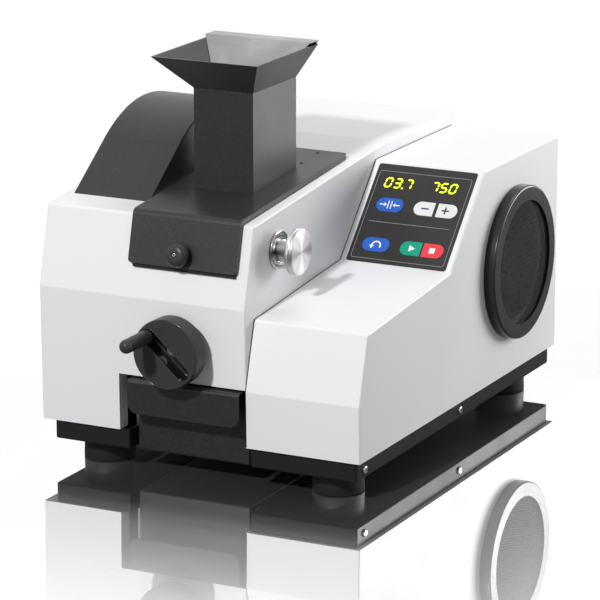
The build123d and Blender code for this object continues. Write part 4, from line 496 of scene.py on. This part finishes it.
# %% Mesh helpers
def grid_faces(rows, columns, wrap_rows=False, wrap_columns=False):
    """Four corner numbers for each cell of a grid whose points are numbered row by row."""
    i = np.arange(rows if wrap_rows else rows - 1)[:, None]
    j = np.arange(columns if wrap_columns else columns - 1)[None, :]
    next_i, next_j = (i + 1) % rows, (j + 1) % columns
    cells = (i * columns + j, i * columns + next_j, next_i * columns + next_j, next_i * columns + j)
    return np.stack([np.broadcast_to(c, (i.size, j.size)) for c in cells], -1).reshape(-1, 4)


def add_piece(name, points, faces, material, body, sharp=35.0):
    """A closed mesh from machine millimetres: merged, turned outwards, smooth up to an angle."""
    mesh = bpy.data.meshes.new(name)
    mesh.from_pydata(at(points).reshape(-1, 3).tolist(), [], [list(face) for face in faces])
    built = bmesh.new()
    built.from_mesh(mesh)
    bmesh.ops.remove_doubles(built, verts=built.verts, dist=1e-6)
    bmesh.ops.recalc_face_normals(built, faces=built.faces)
    built.to_mesh(mesh)
    built.free()
    mesh.polygons.foreach_set("use_smooth", np.ones(len(mesh.polygons), bool))
    mesh.set_sharp_from_angle(angle=np.radians(sharp))
    mesh.materials.append(material)
    piece = bpy.data.objects.new(name, mesh)
    bpy.context.scene.collection.objects.link(piece)
    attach(piece, body)
    print("piece", name, len(mesh.vertices), "points")
    return piece


def rounded(corners, radii, steps=6, closed=False):
    """Round the corners of a polyline: each gets the arc that touches both of its sides."""
    corners = np.asarray(corners, float)
    radii = np.broadcast_to(radii, len(corners))
    line = []
    for k, (corner, radius) in enumerate(zip(corners, radii)):
        inside = closed or 0 < k < len(corners) - 1
        if radius <= 0 or not inside:
            line.append(corner[None])
            continue
        back = corners[k - 1] - corner
        ahead = corners[(k + 1) % len(corners)] - corner
        back, ahead = back / np.linalg.norm(back), ahead / np.linalg.norm(ahead)
        half = np.arccos(np.clip(back @ ahead, -1, 1)) / 2
        middle = (back + ahead) / np.linalg.norm(back + ahead)
        centre = corner + middle * radius / np.sin(half)
        tangent = radius / np.tan(half)
        a, b = corner + back * tangent - centre, corner + ahead * tangent - centre
        opening = np.arccos(np.clip(a @ b / radius ** 2, -1, 1))
        t = np.linspace(0, 1, steps)[:, None]
        arc = np.sin((1 - t) * opening) * a + np.sin(t * opening) * b
        line.append(centre + arc / np.sin(opening))
    return np.concatenate(line)


def turned(profile, origin, axis, steps=96):
    """Turn a profile of (distance from the axis, distance along it) round the axis."""
    axis = np.asarray(axis, float) / np.linalg.norm(axis)
    side = np.cross(axis, (0.0, 0.0, 1.0) if abs(axis[2]) < 0.9 else (1.0, 0.0, 0.0))
    side /= np.linalg.norm(side)
    up = np.cross(axis, side)
    angle = np.linspace(0, TURN, steps, endpoint=False)[:, None, None]
    reach, along = profile[None, :, :1], profile[None, :, 1:]
    return np.asarray(origin) + along * axis + reach * (np.cos(angle) * side + np.sin(angle) * up)


def tubes(points):
    """Faces for a stack of open tubes, shape (tube, sample, corner), each closed by two caps."""
    count, samples, corners = points.shape[:3]
    side = grid_faces(samples, corners, wrap_columns=True)
    start = (np.arange(count) * samples * corners)[:, None, None]
    sides = (start + side[None]).reshape(-1, 4).tolist()
    ring = np.arange(corners)
    first = start[:, :, 0]
    caps = np.concatenate([first + ring[::-1], first + (samples - 1) * corners + ring])
    return sides + caps.tolist()


print("a four by four grid has", len(grid_faces(4, 4)), "cells")

# %% [markdown]
# ## The lid lock
#
# At the right of the hopper a turned steel knob sits on a polished plunger. Its face was cut on a
# lathe, and the rim is finely knurled. The plunger slides in a flange with a dish around it, and
# a short stop pin sits below. All three are bodies of revolution about the x axis, so their
# profiles are pairs of radius and x. The knurl is a wave on the radius, and only the rim's points
# take part.

# %% Lock knob
BOLT_R, PLUNGER_R, BORE_R = 5.0, 12.4, 12.44


def lock_knob(rim=26.5, back=284.5, front=294.3, groove=0.7, teeth=110, cut=0.008):
    """Turned profile. Behind the groove its radius is multiplied by 1 - cut * a triangle wave."""
    bolt_end, shoulder = 240.5, 250.0
    profile = rounded([(0, bolt_end), (BOLT_R - 1.0, bolt_end), (BOLT_R, bolt_end + 1.1),
                       (BOLT_R, shoulder), (PLUNGER_R, shoulder), (PLUNGER_R, back),
                       (rim - 1.2, back), (rim, back + 1.0), (rim, back + 4.6),
                       (rim - groove, back + 5.0), (rim - groove, back + 5.7), (rim, back + 6.1),
                       (rim, front - 1.0), (rim - 1.6, front), (0, front)],
                      (0, 0.3, 0.3, 0.3, 0.3, 0.5, 0.3, 0.3, 0.15, 0.2, 0.2, 0.15, 0.3, 0.4, 0), 4)
    steps, centre = 6 * teeth, np.array(LOCK_AXIS)
    points = turned(profile, centre, (1, 0, 0), steps)
    wave = np.abs((np.arange(steps) * teeth / steps) % 1.0 - 0.5) * 2
    knurled = (profile[:, 0] > rim - 0.3) & (profile[:, 1] < back + 5.0)
    scale = 1 - cut * wave[:, None] * knurled[None, :]
    points[..., 1:] = centre[1:] + (points - centre)[..., 1:] * scale[..., None]
    return points


knob_points = lock_knob()
knob = add_piece("lock_knob_turned", knob_points, grid_faces(*knob_points.shape[:2], True),
                 lock_steel, "lock", 30)
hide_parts("lock_knob")

# %% Lock flange
def lock_flange(sleeve_r=16.0, flange_r=22.5, inner_end=246.0, thick=3.2, dish=2.2):
    """One closed profile: sleeve inside the wall, flange outside it, and the dish in its front."""
    wall, face = CRUSHER_W, CRUSHER_W + thick
    loop = rounded([(BORE_R, inner_end), (sleeve_r, inner_end), (sleeve_r, wall), (flange_r, wall),
                    (flange_r, face), (15.2, face), (14.0, face - dish), (BORE_R, face - dish)],
                   (0.3, 0.3, 0, 0.3, 1.3, 0.5, 0.4, 0.2), 5, closed=True)
    return turned(loop, LOCK_AXIS, (1, 0, 0), 128)


flange_points = lock_flange()
flange = add_piece("lock_flange", flange_points, grid_faces(*flange_points.shape[:2], True, True),
                   chrome, "frame", 30)
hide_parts("lock_bushing")

# %% Stop pin under the lock
PIN_R, PIN_DROP = 2.2, 19.0
pin_x0, pin_x1 = CRUSHER_W + 0.5, CRUSHER_W + 11.7
pin_profile = rounded([(0, pin_x0), (PIN_R, pin_x0), (PIN_R, pin_x1), (0, pin_x1)],
                      (0, 0, 1.6, 0), 6)
pin_points = turned(pin_profile, (0, LOCK_Y, LOCK_Z - PIN_DROP), (1, 0, 0), 32)
add_piece("lock_stop_pin", pin_points, grid_faces(*pin_points.shape[:2], True), chrome, "frame")

# %% [markdown]
# ## Small pieces on the wheel, the lid and the seam
#
# Four small things catch the eye: the rounded lips of the handwheel's rim and slot, the screw in
# the lid's knob, the rubber lip under the lid's front edge, which is also painted shade for the
# lid's shadow, and a dark strip in the seam between the two housings, which is a painted shadow.
# Each is a small section carried along a path, so one function makes all but the screw: at every
# point of the path it sets the section up from two directions that go with the path.

# %% Sweep along a path
def sweep(path, across, up, section):
    """Point + u * across + v * up, for each point of the path and each (u, v) of the section."""
    u, v = np.asarray(section, float).T[:, None, :, None]
    return path[:, None, :] + u * across[:, None, :] + v * up[:, None, :]


def round_section(radius, corners=10):
    """Corners of a small circle."""
    angle = np.arange(corners) * TURN / corners
    return radius * np.stack([np.cos(angle), np.sin(angle)], -1)


print("a section has", len(round_section(0.5)), "corners")

# %% Lips of the rim and the slot
SLOT_TURN, SLOT_REACH, SLOT_RADIUS = np.radians(138.0), 28.6, 8.8
RIM_RADIUS, BEAD, BEAD_SUNK = 39.2, 0.55, 0.4


def wheel_lip(name, radius, reach, steps=120):
    """A bead along two half circles of a radius, centred `reach` to both sides of the axis."""
    angle = np.linspace(0, TURN, steps, endpoint=False)
    outward = np.stack([np.cos(angle), np.zeros(steps), np.sin(angle)], -1)
    shift = np.where(np.cos(angle - SLOT_TURN) >= 0, 1.0, -1.0)[:, None] * reach
    axis = np.array((np.cos(SLOT_TURN), 0.0, np.sin(SLOT_TURN)))
    path = np.array((AXIS_X, WHEEL_FRONT + BEAD_SUNK, WHEEL_Z)) + outward * radius + shift * axis
    inward = np.broadcast_to((0.0, 1.0, 0.0), outward.shape)
    points = sweep(path, outward, inward, round_section(BEAD))
    add_piece(name, points, grid_faces(*points.shape[:2], True, True), edge_black, "gap_wheel",
              60)


wheel_lip("wheel_rim_lip", RIM_RADIUS, 0.0)
wheel_lip("wheel_slot_lip", SLOT_RADIUS, SLOT_REACH)

# %% Screw in the lid's knob
FRONT_TILT = np.radians(13.904)
FRONT_OUT = np.array((0.0, -np.cos(FRONT_TILT), np.sin(FRONT_TILT)))
FRONT_DOWN = np.array((0.0, -np.sin(FRONT_TILT), -np.cos(FRONT_TILT)))
KNOB_SEAT = np.array((AXIS_X, 6.153, 213.084))
screw_profile = rounded([(0, 15.5), (2.4, 15.5), (2.4, 16.9), (1.9, 17.6), (1.2, 17.7), (1.1, 16.9),
                         (0, 16.9)], (0, 0.1, 0.5, 0.3, 0.1, 0.1, 0), 4)
screw_points = turned(screw_profile, KNOB_SEAT, FRONT_OUT, 48)
add_piece("knob_screw", screw_points, grid_faces(*screw_points.shape[:2], True), screw_steel, "lid",
          30)

# %% Rubber lip under the lid's front edge, also painted shade for the lid's shadow
LID_BEND, FLANGE_LENGTH = np.array((0.0, 22.8, 251.2)), 55.9
lip_section = rounded([(-3.0, 1.4), (3.9, 1.4), (3.9, 4.0), (-3.0, 4.0)], (0.3, 0.8, 1.0, 0.3), 4,
                      closed=True)
lip_x = np.array((119.5, 121.0, 248.5, 249.8))[:, None] * (1, 0, 0)
lip_path = LID_BEND + FLANGE_LENGTH * FRONT_DOWN + lip_x
lip_down, lip_out = (np.broadcast_to(way, lip_path.shape) for way in (FRONT_DOWN, FRONT_OUT))
lip_points = sweep(lip_path, lip_down, lip_out, lip_section)
# Painted shade: the dark lip is a rubber edge and also fills the band where the lid's shadow falls.
add_piece("lid_lip_and_shadow", lip_points, tubes(lip_points[None]), rubber_black, "lid",
          30)

# %% Painted shadow strip in the seam between the housings
SEAM = rounded([(1.6, 1.0), (0.1, 65.9), (22.1, 144.7), SLOPE_FOOT, SLOPE_HEAD, (557.0, 265.0)],
               (0, 2.0, 2.0, 2.0, 2.0, 0), 6)


def seam_shadow_strip():
    """The control housing's side outline, with a thin flat section along it, square to its line."""
    ahead = np.gradient(SEAM, axis=0)
    ahead /= np.linalg.norm(ahead, axis=1)[:, None]
    out = np.stack([np.zeros(len(SEAM)), -ahead[:, 1], ahead[:, 0]], -1)
    path = np.column_stack([np.full(len(SEAM), CRUSHER_W + 0.5), SEAM])
    side = np.broadcast_to((1.0, 0.0, 0.0), out.shape)
    return sweep(path, side, out, [(-0.45, -1.2), (0.45, -1.2), (0.45, 0.25), (-0.45, 0.25)])


# Painted shadow: a dark strip stands in the seam where shade falls between the housings.
seam_points = seam_shadow_strip()
add_piece("seam_shadow_strip", seam_points, tubes(seam_points[None]), rubber_black, "frame",
          30)

# %% [markdown]
# ## The woven mesh over the motor
#
# Inside the black ring lies a fine steel cloth, woven on the slant. Its main wires rise towards
# the back by 13.4 degrees, and thinner ones cross them at a right angle. Each wire goes over and
# under its neighbours, so its height is a sine along its length, and the crossing family has the
# opposite sign. All wires of one family are one array: wire, sample along it, corner of its
# section.

# %% Woven mesh
RING_DEPTH, RECESS, MESH_R = 14.0, 3.6, 78.2
PITCH, SLANT = 3.2, np.radians(13.4)


def woven_family(slant, sign, radius, samples=97, corners=5):
    """Chords of the ring at one slant: five-sided tubes that weave by half their own radius."""
    count = int(2 * MESH_R / PITCH) - 1
    offset = (np.arange(count) - (count - 1) / 2) * PITCH
    half = np.sqrt(MESH_R ** 2 - offset ** 2)
    along = np.linspace(-1, 1, samples)[None, :] * half[:, None]
    weave = sign * 0.5 * radius * np.sin(np.pi * along / PITCH + np.pi * np.arange(count)[:, None])
    angle = np.arange(corners) * TURN / corners
    height = RIGHT_X + RING_DEPTH - RECESS + weave[..., None] + radius * np.sin(angle)
    run = np.broadcast_to(along[..., None], height.shape)
    across = np.broadcast_to(offset[:, None, None] + radius * np.cos(angle), height.shape)
    y = MOTOR_Y + run * np.cos(slant) - across * np.sin(slant)
    z = MOTOR_Z + run * np.sin(slant) + across * np.cos(slant)
    return np.stack([height, y, z], -1)


mesh_points = np.concatenate([woven_family(SLANT, 1, 0.62),
                              woven_family(SLANT - np.pi / 2, -1, 0.32)])
mesh_piece = add_piece("woven_mesh", mesh_points, tubes(mesh_points), mesh_black, "frame",
                       80)
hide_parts("fan_mesh")

# %% [markdown]
# ## What is printed and lit on the key panel
#
# The panel lies on a slope, so its marks are drawn flat, in x across and s up the slope, and then
# laid on it at a height h. A mark is an outline with a thickness of a few hundredths of a
# millimetre, which is what a printed or lit mark looks like from a hand's breadth away.

# %% Slope helpers
SLOPE_TILT = np.arctan2(*(SLOPE_HEAD - SLOPE_FOOT)[::-1])
FOIL_H, KEY_H, SUNK = 0.8, 1.1, 0.03


def on_slope(x, s, h):
    """Machine point of x across, s up the slope and h out of it."""
    x, s, h = np.broadcast_arrays(x, s, h)
    y = SLOPE_FOOT[0] + s * np.cos(SLOPE_TILT) - h * np.sin(SLOPE_TILT)
    z = SLOPE_FOOT[1] + s * np.sin(SLOPE_TILT) + h * np.cos(SLOPE_TILT)
    return np.stack([x, y, z], -1)


def marks(name, outlines, base, material, body, thick=0.05):
    """Closed outlines in (x, s), each a thin slab on the slope: two caps and a band of sides."""
    points, faces, start = [], [], 0
    for outline in outlines:
        outline = np.asarray(outline, float)
        n = len(outline)
        points += [on_slope(outline[:, 0], outline[:, 1], h) for h in (base - SUNK, base + thick)]
        ring = np.arange(n)
        band = np.stack([ring, (ring + 1) % n, (ring + 1) % n + n, ring + n], -1) + start
        faces += band.tolist() + [(start + ring[::-1]).tolist(), (start + n + ring).tolist()]
        start += 2 * n
    add_piece(name, np.concatenate(points), faces, material, body, 30)


def box_outline(x, s, width, height):
    """Four corners of a rectangle around (x, s)."""
    half = (width / 2, height / 2)
    return np.array((x, s)) + np.array([(-1, -1), (1, -1), (1, 1), (-1, 1)]) * half


print("slope tilt", round(float(np.degrees(SLOPE_TILT)), 2))

# %% Lit digits
def glow(name, colour, strength):
    """A lamp behind a foil: plain colour that shines by itself, a little uneven."""
    material = coat(name, colour, 0.4, (900.0, 0.0), shift=0.3, slow=60.0)
    bsdf = material.node_tree.nodes["Principled BSDF"]
    bsdf.inputs["Emission Color"].default_value = (*colour, 1.0)
    bsdf.inputs["Emission Strength"].default_value = strength
    return material


digit_glow = glow("digit_glow", (0.72, 0.86, 0.01), 0.95)
SEGMENTS = {"0": "abcdef", "3": "abgcd", "5": "afgcd", "7": "abc"}


def digit(character, x, s, width=9.8, height=14.2, stroke=2.3, slant=0.14):
    """Bars with pointed ends: each lies on an edge of a figure of eight and leans with it."""
    half_w, half_h = (width - stroke) / 2, (height - stroke) / 4
    flat = {"a": (0, 2 * half_h), "g": (0, 0), "d": (0, -2 * half_h)}
    tall = {"f": (-half_w, half_h), "b": (half_w, half_h),
            "e": (-half_w, -half_h), "c": (half_w, -half_h)}
    outlines, t = [], stroke / 2
    for name in SEGMENTS[character]:
        across = name in flat
        centre = np.array(flat[name] if across else tall[name])
        reach = (half_w if across else half_h) - 0.25
        bar = np.array([(-reach, 0), (-reach + t, t), (reach - t, t), (reach, 0), (reach - t, -t),
                        (-reach + t, -t)])
        bar = (bar if across else bar[:, ::-1]) + centre
        bar[:, 0] += slant * bar[:, 1]
        outlines.append(bar + (x, s))
    return outlines


SHOWN = (("0", 291.6, 110.0), ("3", 303.6, 110.0), ("7", 317.6, 110.0),
         ("7", 351.4, 110.4), ("5", 362.8, 110.4), ("0", 374.6, 110.4))
digits = [bar for shown in SHOWN for bar in digit(*shown)]
decimal_point = box_outline(310.6, 103.9, 2.2, 2.2)
marks("lit_digits", digits + [decimal_point], FOIL_H, digit_glow, "frame")

# %% Frame line and divider
line_grey = coat("line_grey", (0.3, 0.3, 0.3), 0.4, (1500.0, 0.05), shift=0.1)
LINE_WIDTH, LINE_H = 0.55, 0.04


def frame_line(x0, x1, s0, s1, radius):
    """A rounded rectangle and its smaller copy, joined into one band of quads."""
    outer, inner = (rounded([(x0 + d, s0 + d), (x1 - d, s0 + d), (x1 - d, s1 - d),
                             (x0 + d, s1 - d)], radius - d, 8, closed=True)
                    for d in (0.0, LINE_WIDTH))
    low, high = FOIL_H - SUNK, FOIL_H + LINE_H
    loop = [on_slope(ring[:, 0], ring[:, 1], h)
            for ring, h in ((outer, low), (outer, high), (inner, high), (inner, low))]
    return np.stack(loop, 1)


line_points = frame_line(276.0, 395.0, 5.6, 125.6, radius=3.0)
add_piece("panel_frame_line", line_points, grid_faces(*line_points.shape[:2], True, True),
          line_grey, "frame", 30)
divider = box_outline(335.2, 56.0, 103.5, LINE_WIDTH)
marks("panel_divider", [divider], FOIL_H, line_grey, "frame")

# %% [markdown]
# The keys carry plain symbols: two arrows that meet at a gap, minus, plus, an arrow that turns
# back, a triangle for start and a square for stop. Each symbol rides on its own key's body, so
# that it goes down with the key.

# %% Key symbols
symbol_white = coat("symbol_white", (0.82, 0.82, 0.82), 0.4, (1500.0, 0.05), shift=0.04)
symbol_dark = coat("symbol_dark", (0.03, 0.03, 0.035), 0.4, (1500.0, 0.05), shift=0.1)


def arrow(x, s, length, head, thick, way=1):
    """A straight arrow centred on (x, s); its point is 0.62 of the head's width long."""
    half, neck = length / 2, length / 2 - head * 0.62
    side = [(-half, -thick / 2), (neck, -thick / 2), (neck, -head / 2), (half, 0), (neck, head / 2),
            (neck, thick / 2), (-half, thick / 2)]
    return np.array(side) * (way, 1) + (x, s)


def curved_arrow(x, s, radius, thick, start, stop, head):
    """A band along an arc, and on its end a triangle ahead, 0.8 of the head's width long."""
    angle = np.radians(np.linspace(start, stop, 24))[:, None]
    rim = np.hstack([np.cos(angle), np.sin(angle)])
    band = np.concatenate([rim * (radius + thick / 2), rim[::-1] * (radius - thick / 2)])
    end, ahead = rim[-1], np.array((-rim[-1, 1], rim[-1, 0])) * np.sign(stop - start)
    tip = [end * (radius + head / 2), end * radius + ahead * head * 0.8, end * (radius - head / 2)]
    return [band + (x, s), np.array(tip) + (x, s)]


WIDE_X, PAIR_X, UPPER, LOWER = 302.8, 361.6, 79.9, 25.3
gap_arrows = [arrow(WIDE_X - 8.2 * way, UPPER, length=9.0, head=5.4, thick=1.5, way=way)
              for way in (1, -1)]
gap_bars = [box_outline(WIDE_X + d, UPPER, 1.3, 10.5) for d in (-2.0, 2.0)]
back_arrow = curved_arrow(WIDE_X + 0.6, LOWER - 1.4, radius=5.4, thick=1.9, start=-25, stop=178,
                          head=6.0)
minus = box_outline(PAIR_X - 13.4, UPPER, 9.4, 2.0)
plus = np.array([(1, 1), (1, 4.7), (-1, 4.7), (-1, 1), (-4.7, 1), (-4.7, -1), (-1, -1), (-1, -4.7),
                 (1, -4.7), (1, -1), (4.7, -1), (4.7, 1)]) + (PAIR_X + 12.6, UPPER)
triangle = np.array([(-3.2, -4.2), (4.6, 0), (-3.2, 4.2)]) + (PAIR_X - 13.0, LOWER)
square = box_outline(PAIR_X + 13.0, LOWER, 7.2, 7.2)
marks("symbol_gap", gap_arrows + gap_bars, KEY_H, symbol_white, "key_reset")
marks("symbol_reverse", back_arrow, KEY_H, symbol_white, "key_reverse")
marks("symbol_minus", [minus], KEY_H, symbol_dark, "key_minus")
marks("symbol_plus", [plus], KEY_H, symbol_dark, "key_plus")
marks("symbol_start", [triangle], KEY_H, symbol_white, "key_start")
marks("symbol_stop", [square], KEY_H, symbol_white, "key_stop")

# %% [markdown]
# ## Rubber feet
#
# Each foot is a solid rubber puck, a little wider at the bottom, with small bevels and a recess
# below for its bolt. Four copies of one turned profile stand under the corners of the base.

# %% Feet
FOOT_PLACES = [(x, y, 0.0) for x in (60.0, 355.0) for y in (53.0, 510.0)]


def foot_profile(recess_r=9.0, bolt_r=4.1, ceiling=-42.0):
    """From the recess below, up the bevelled side, to the hole for its bolt."""
    loop = [(recess_r, FLOOR_Z), (28.8, FLOOR_Z), (30.0, FLOOR_Z + 1.2), (29.6, -36.0),
            (29.4, BASE_Z - 1.2), (28.6, BASE_Z), (bolt_r, BASE_Z), (bolt_r, ceiling),
            (recess_r, ceiling)]
    return rounded(loop, (0.8, 0.6, 0.8, 4.0, 0.8, 0.3, 0.2, 0.4, 0.4), 4, closed=True)


foot_points = np.stack([turned(foot_profile(), place, (0, 0, 1), 96) for place in FOOT_PLACES])
one_foot = grid_faces(*foot_points.shape[1:3], True, True)
first_point = np.arange(len(foot_points)) * foot_points[0, ..., 0].size
foot_faces = (one_foot + first_point[:, None, None]).reshape(-1, 4)
feet = add_piece("moulded_feet", foot_points, foot_faces, rubber_black, "frame", 40)
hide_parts("rubber_feet")

# %% [markdown]
# ## Floor, world and lamps
#
# The photograph is a studio shot on a polished white table. A small key lamp stands in front of
# the machine and well above it, and throws the handwheel's shadow on the housing. A broad, low
# lamp at the right, behind the machine, fills the side walls, and a weaker one above the back
# lights the tops. The table mirrors the machine, most of all close to it, and the mirror fades
# outwards. The camera and the polished steel see a white room.

# %% Floor
def ramp(tree, source, x0, x1, y0, y1):
    """A number that goes from y0 to y1 while the source goes from x0 to x1, and holds outside."""
    node = add(tree, "ShaderNodeMapRange", {"interpolation_type": "SMOOTHSTEP"}, From_Min=x0,
               From_Max=x1, To_Min=y0, To_Max=y1)
    tie(tree, *source, node, "Value")
    return node, 0


def outside_box(tree, half_x, half_y):
    """How far a point lies outside a rectangle: the larger of |x| - half_x and |y| - half_y."""
    place = add(tree, "ShaderNodeTexCoord")
    parts = add(tree, "ShaderNodeSeparateXYZ")
    tie(tree, place, "Object", parts, 0)
    over = [maths(tree, "SUBTRACT", maths(tree, "ABSOLUTE", (parts, k)), half)
            for k, half in enumerate((half_x, half_y))]
    return maths(tree, "MAXIMUM", *over)


def blend(tree, share, first, second):
    """A Mix Shader node: `share` of the second shader over the first."""
    node = add(tree, "ShaderNodeMixShader")
    tie(tree, *share, node, 0)
    tie(tree, first, 0, node, 1)
    tie(tree, second, 0, node, 2)
    return node


floor_paint, table, paint = new_material("floor_paint", Roughness=0.6, Specular_IOR_Level=0.0)
outside = outside_box(table, half_x=0.19, half_y=0.25)
eye = (add(table, "ShaderNodeLightPath"), "Is Camera Ray")
table_tone = mix_colours(table, (0.24, 0.24, 0.242), (0.98, 0.98, 0.98))
tie(table, *eye, table_tone, 0)
tie(table, table_tone, MIX_COLOUR, paint, "Base Color")
polish = add(table, "ShaderNodeBsdfGlossy", Color=(1.0, 1.0, 1.0, 1.0), Roughness=0.015)
white_room = add(table, "ShaderNodeEmission", Strength=1.0)
near = ramp(table, outside, 0.06, 0.16, 0.97, 0.8)
far = ramp(table, outside, 0.16, 0.8, 1.0, 0.4)
mirrored = maths(table, "MULTIPLY", maths(table, "MULTIPLY", near, far), eye)
faded = maths(table, "MULTIPLY", ramp(table, outside, 0.13, 0.62, 0.0, 1.0), eye)
surface = blend(table, faded, blend(table, mirrored, paint, polish), white_room)
tie(table, surface, 0, table.nodes["Material Output"], "Surface")
bpy.ops.mesh.primitive_plane_add(size=12.0)
floor = bpy.context.object
floor.name = "floor"
floor.data.materials.append(floor_paint)
print("floor at z =", floor.location.z)

# %% World
world = bpy.data.worlds.new("studio")
world.use_nodes = True
bpy.context.scene.world = world
sky = world.node_tree
FILL, WHITE = 0.27, 1.0
ray = add(sky, "ShaderNodeLightPath")
seen = maths(sky, "MAXIMUM", (ray, "Is Camera Ray"), (ray, "Is Glossy Ray"))
strength = add(sky, "ShaderNodeMapRange", To_Min=FILL, To_Max=WHITE)
tie(sky, *seen, strength, "Value")
background = sky.nodes["Background"]
background.inputs["Color"].default_value = (1.0, 1.0, 1.0, 1.0)
tie(sky, strength, 0, background, "Strength")
print("world", world.name)

# %% Lamps
def lamp(name, place, target, size, watts):
    """A square area lamp at a place, turned so that its face looks at the target."""
    data = bpy.data.lights.new(name, "AREA")
    data.size, data.energy = size, watts
    light = bpy.data.objects.new(name, data)
    light.location = place
    light.rotation_euler = (Vector(target) - Vector(place)).to_track_quat("-Z", "Y").to_euler()
    bpy.context.scene.collection.objects.link(light)


lamp("key", (-0.25, -4.1, 3.05), (0.0, 0.0, 0.2), size=0.3, watts=186.0)
lamp("side", (1.68, 2.12, 0.48), (0.0, 0.0, 0.15), size=1.4, watts=64.0)
lamp("top", (0.0, 1.0, 2.4), (0.0, 0.1, 0.2), size=1.2, watts=23.0)
bpy.context.scene.view_settings.view_transform = "Standard"
print("lamps ready")
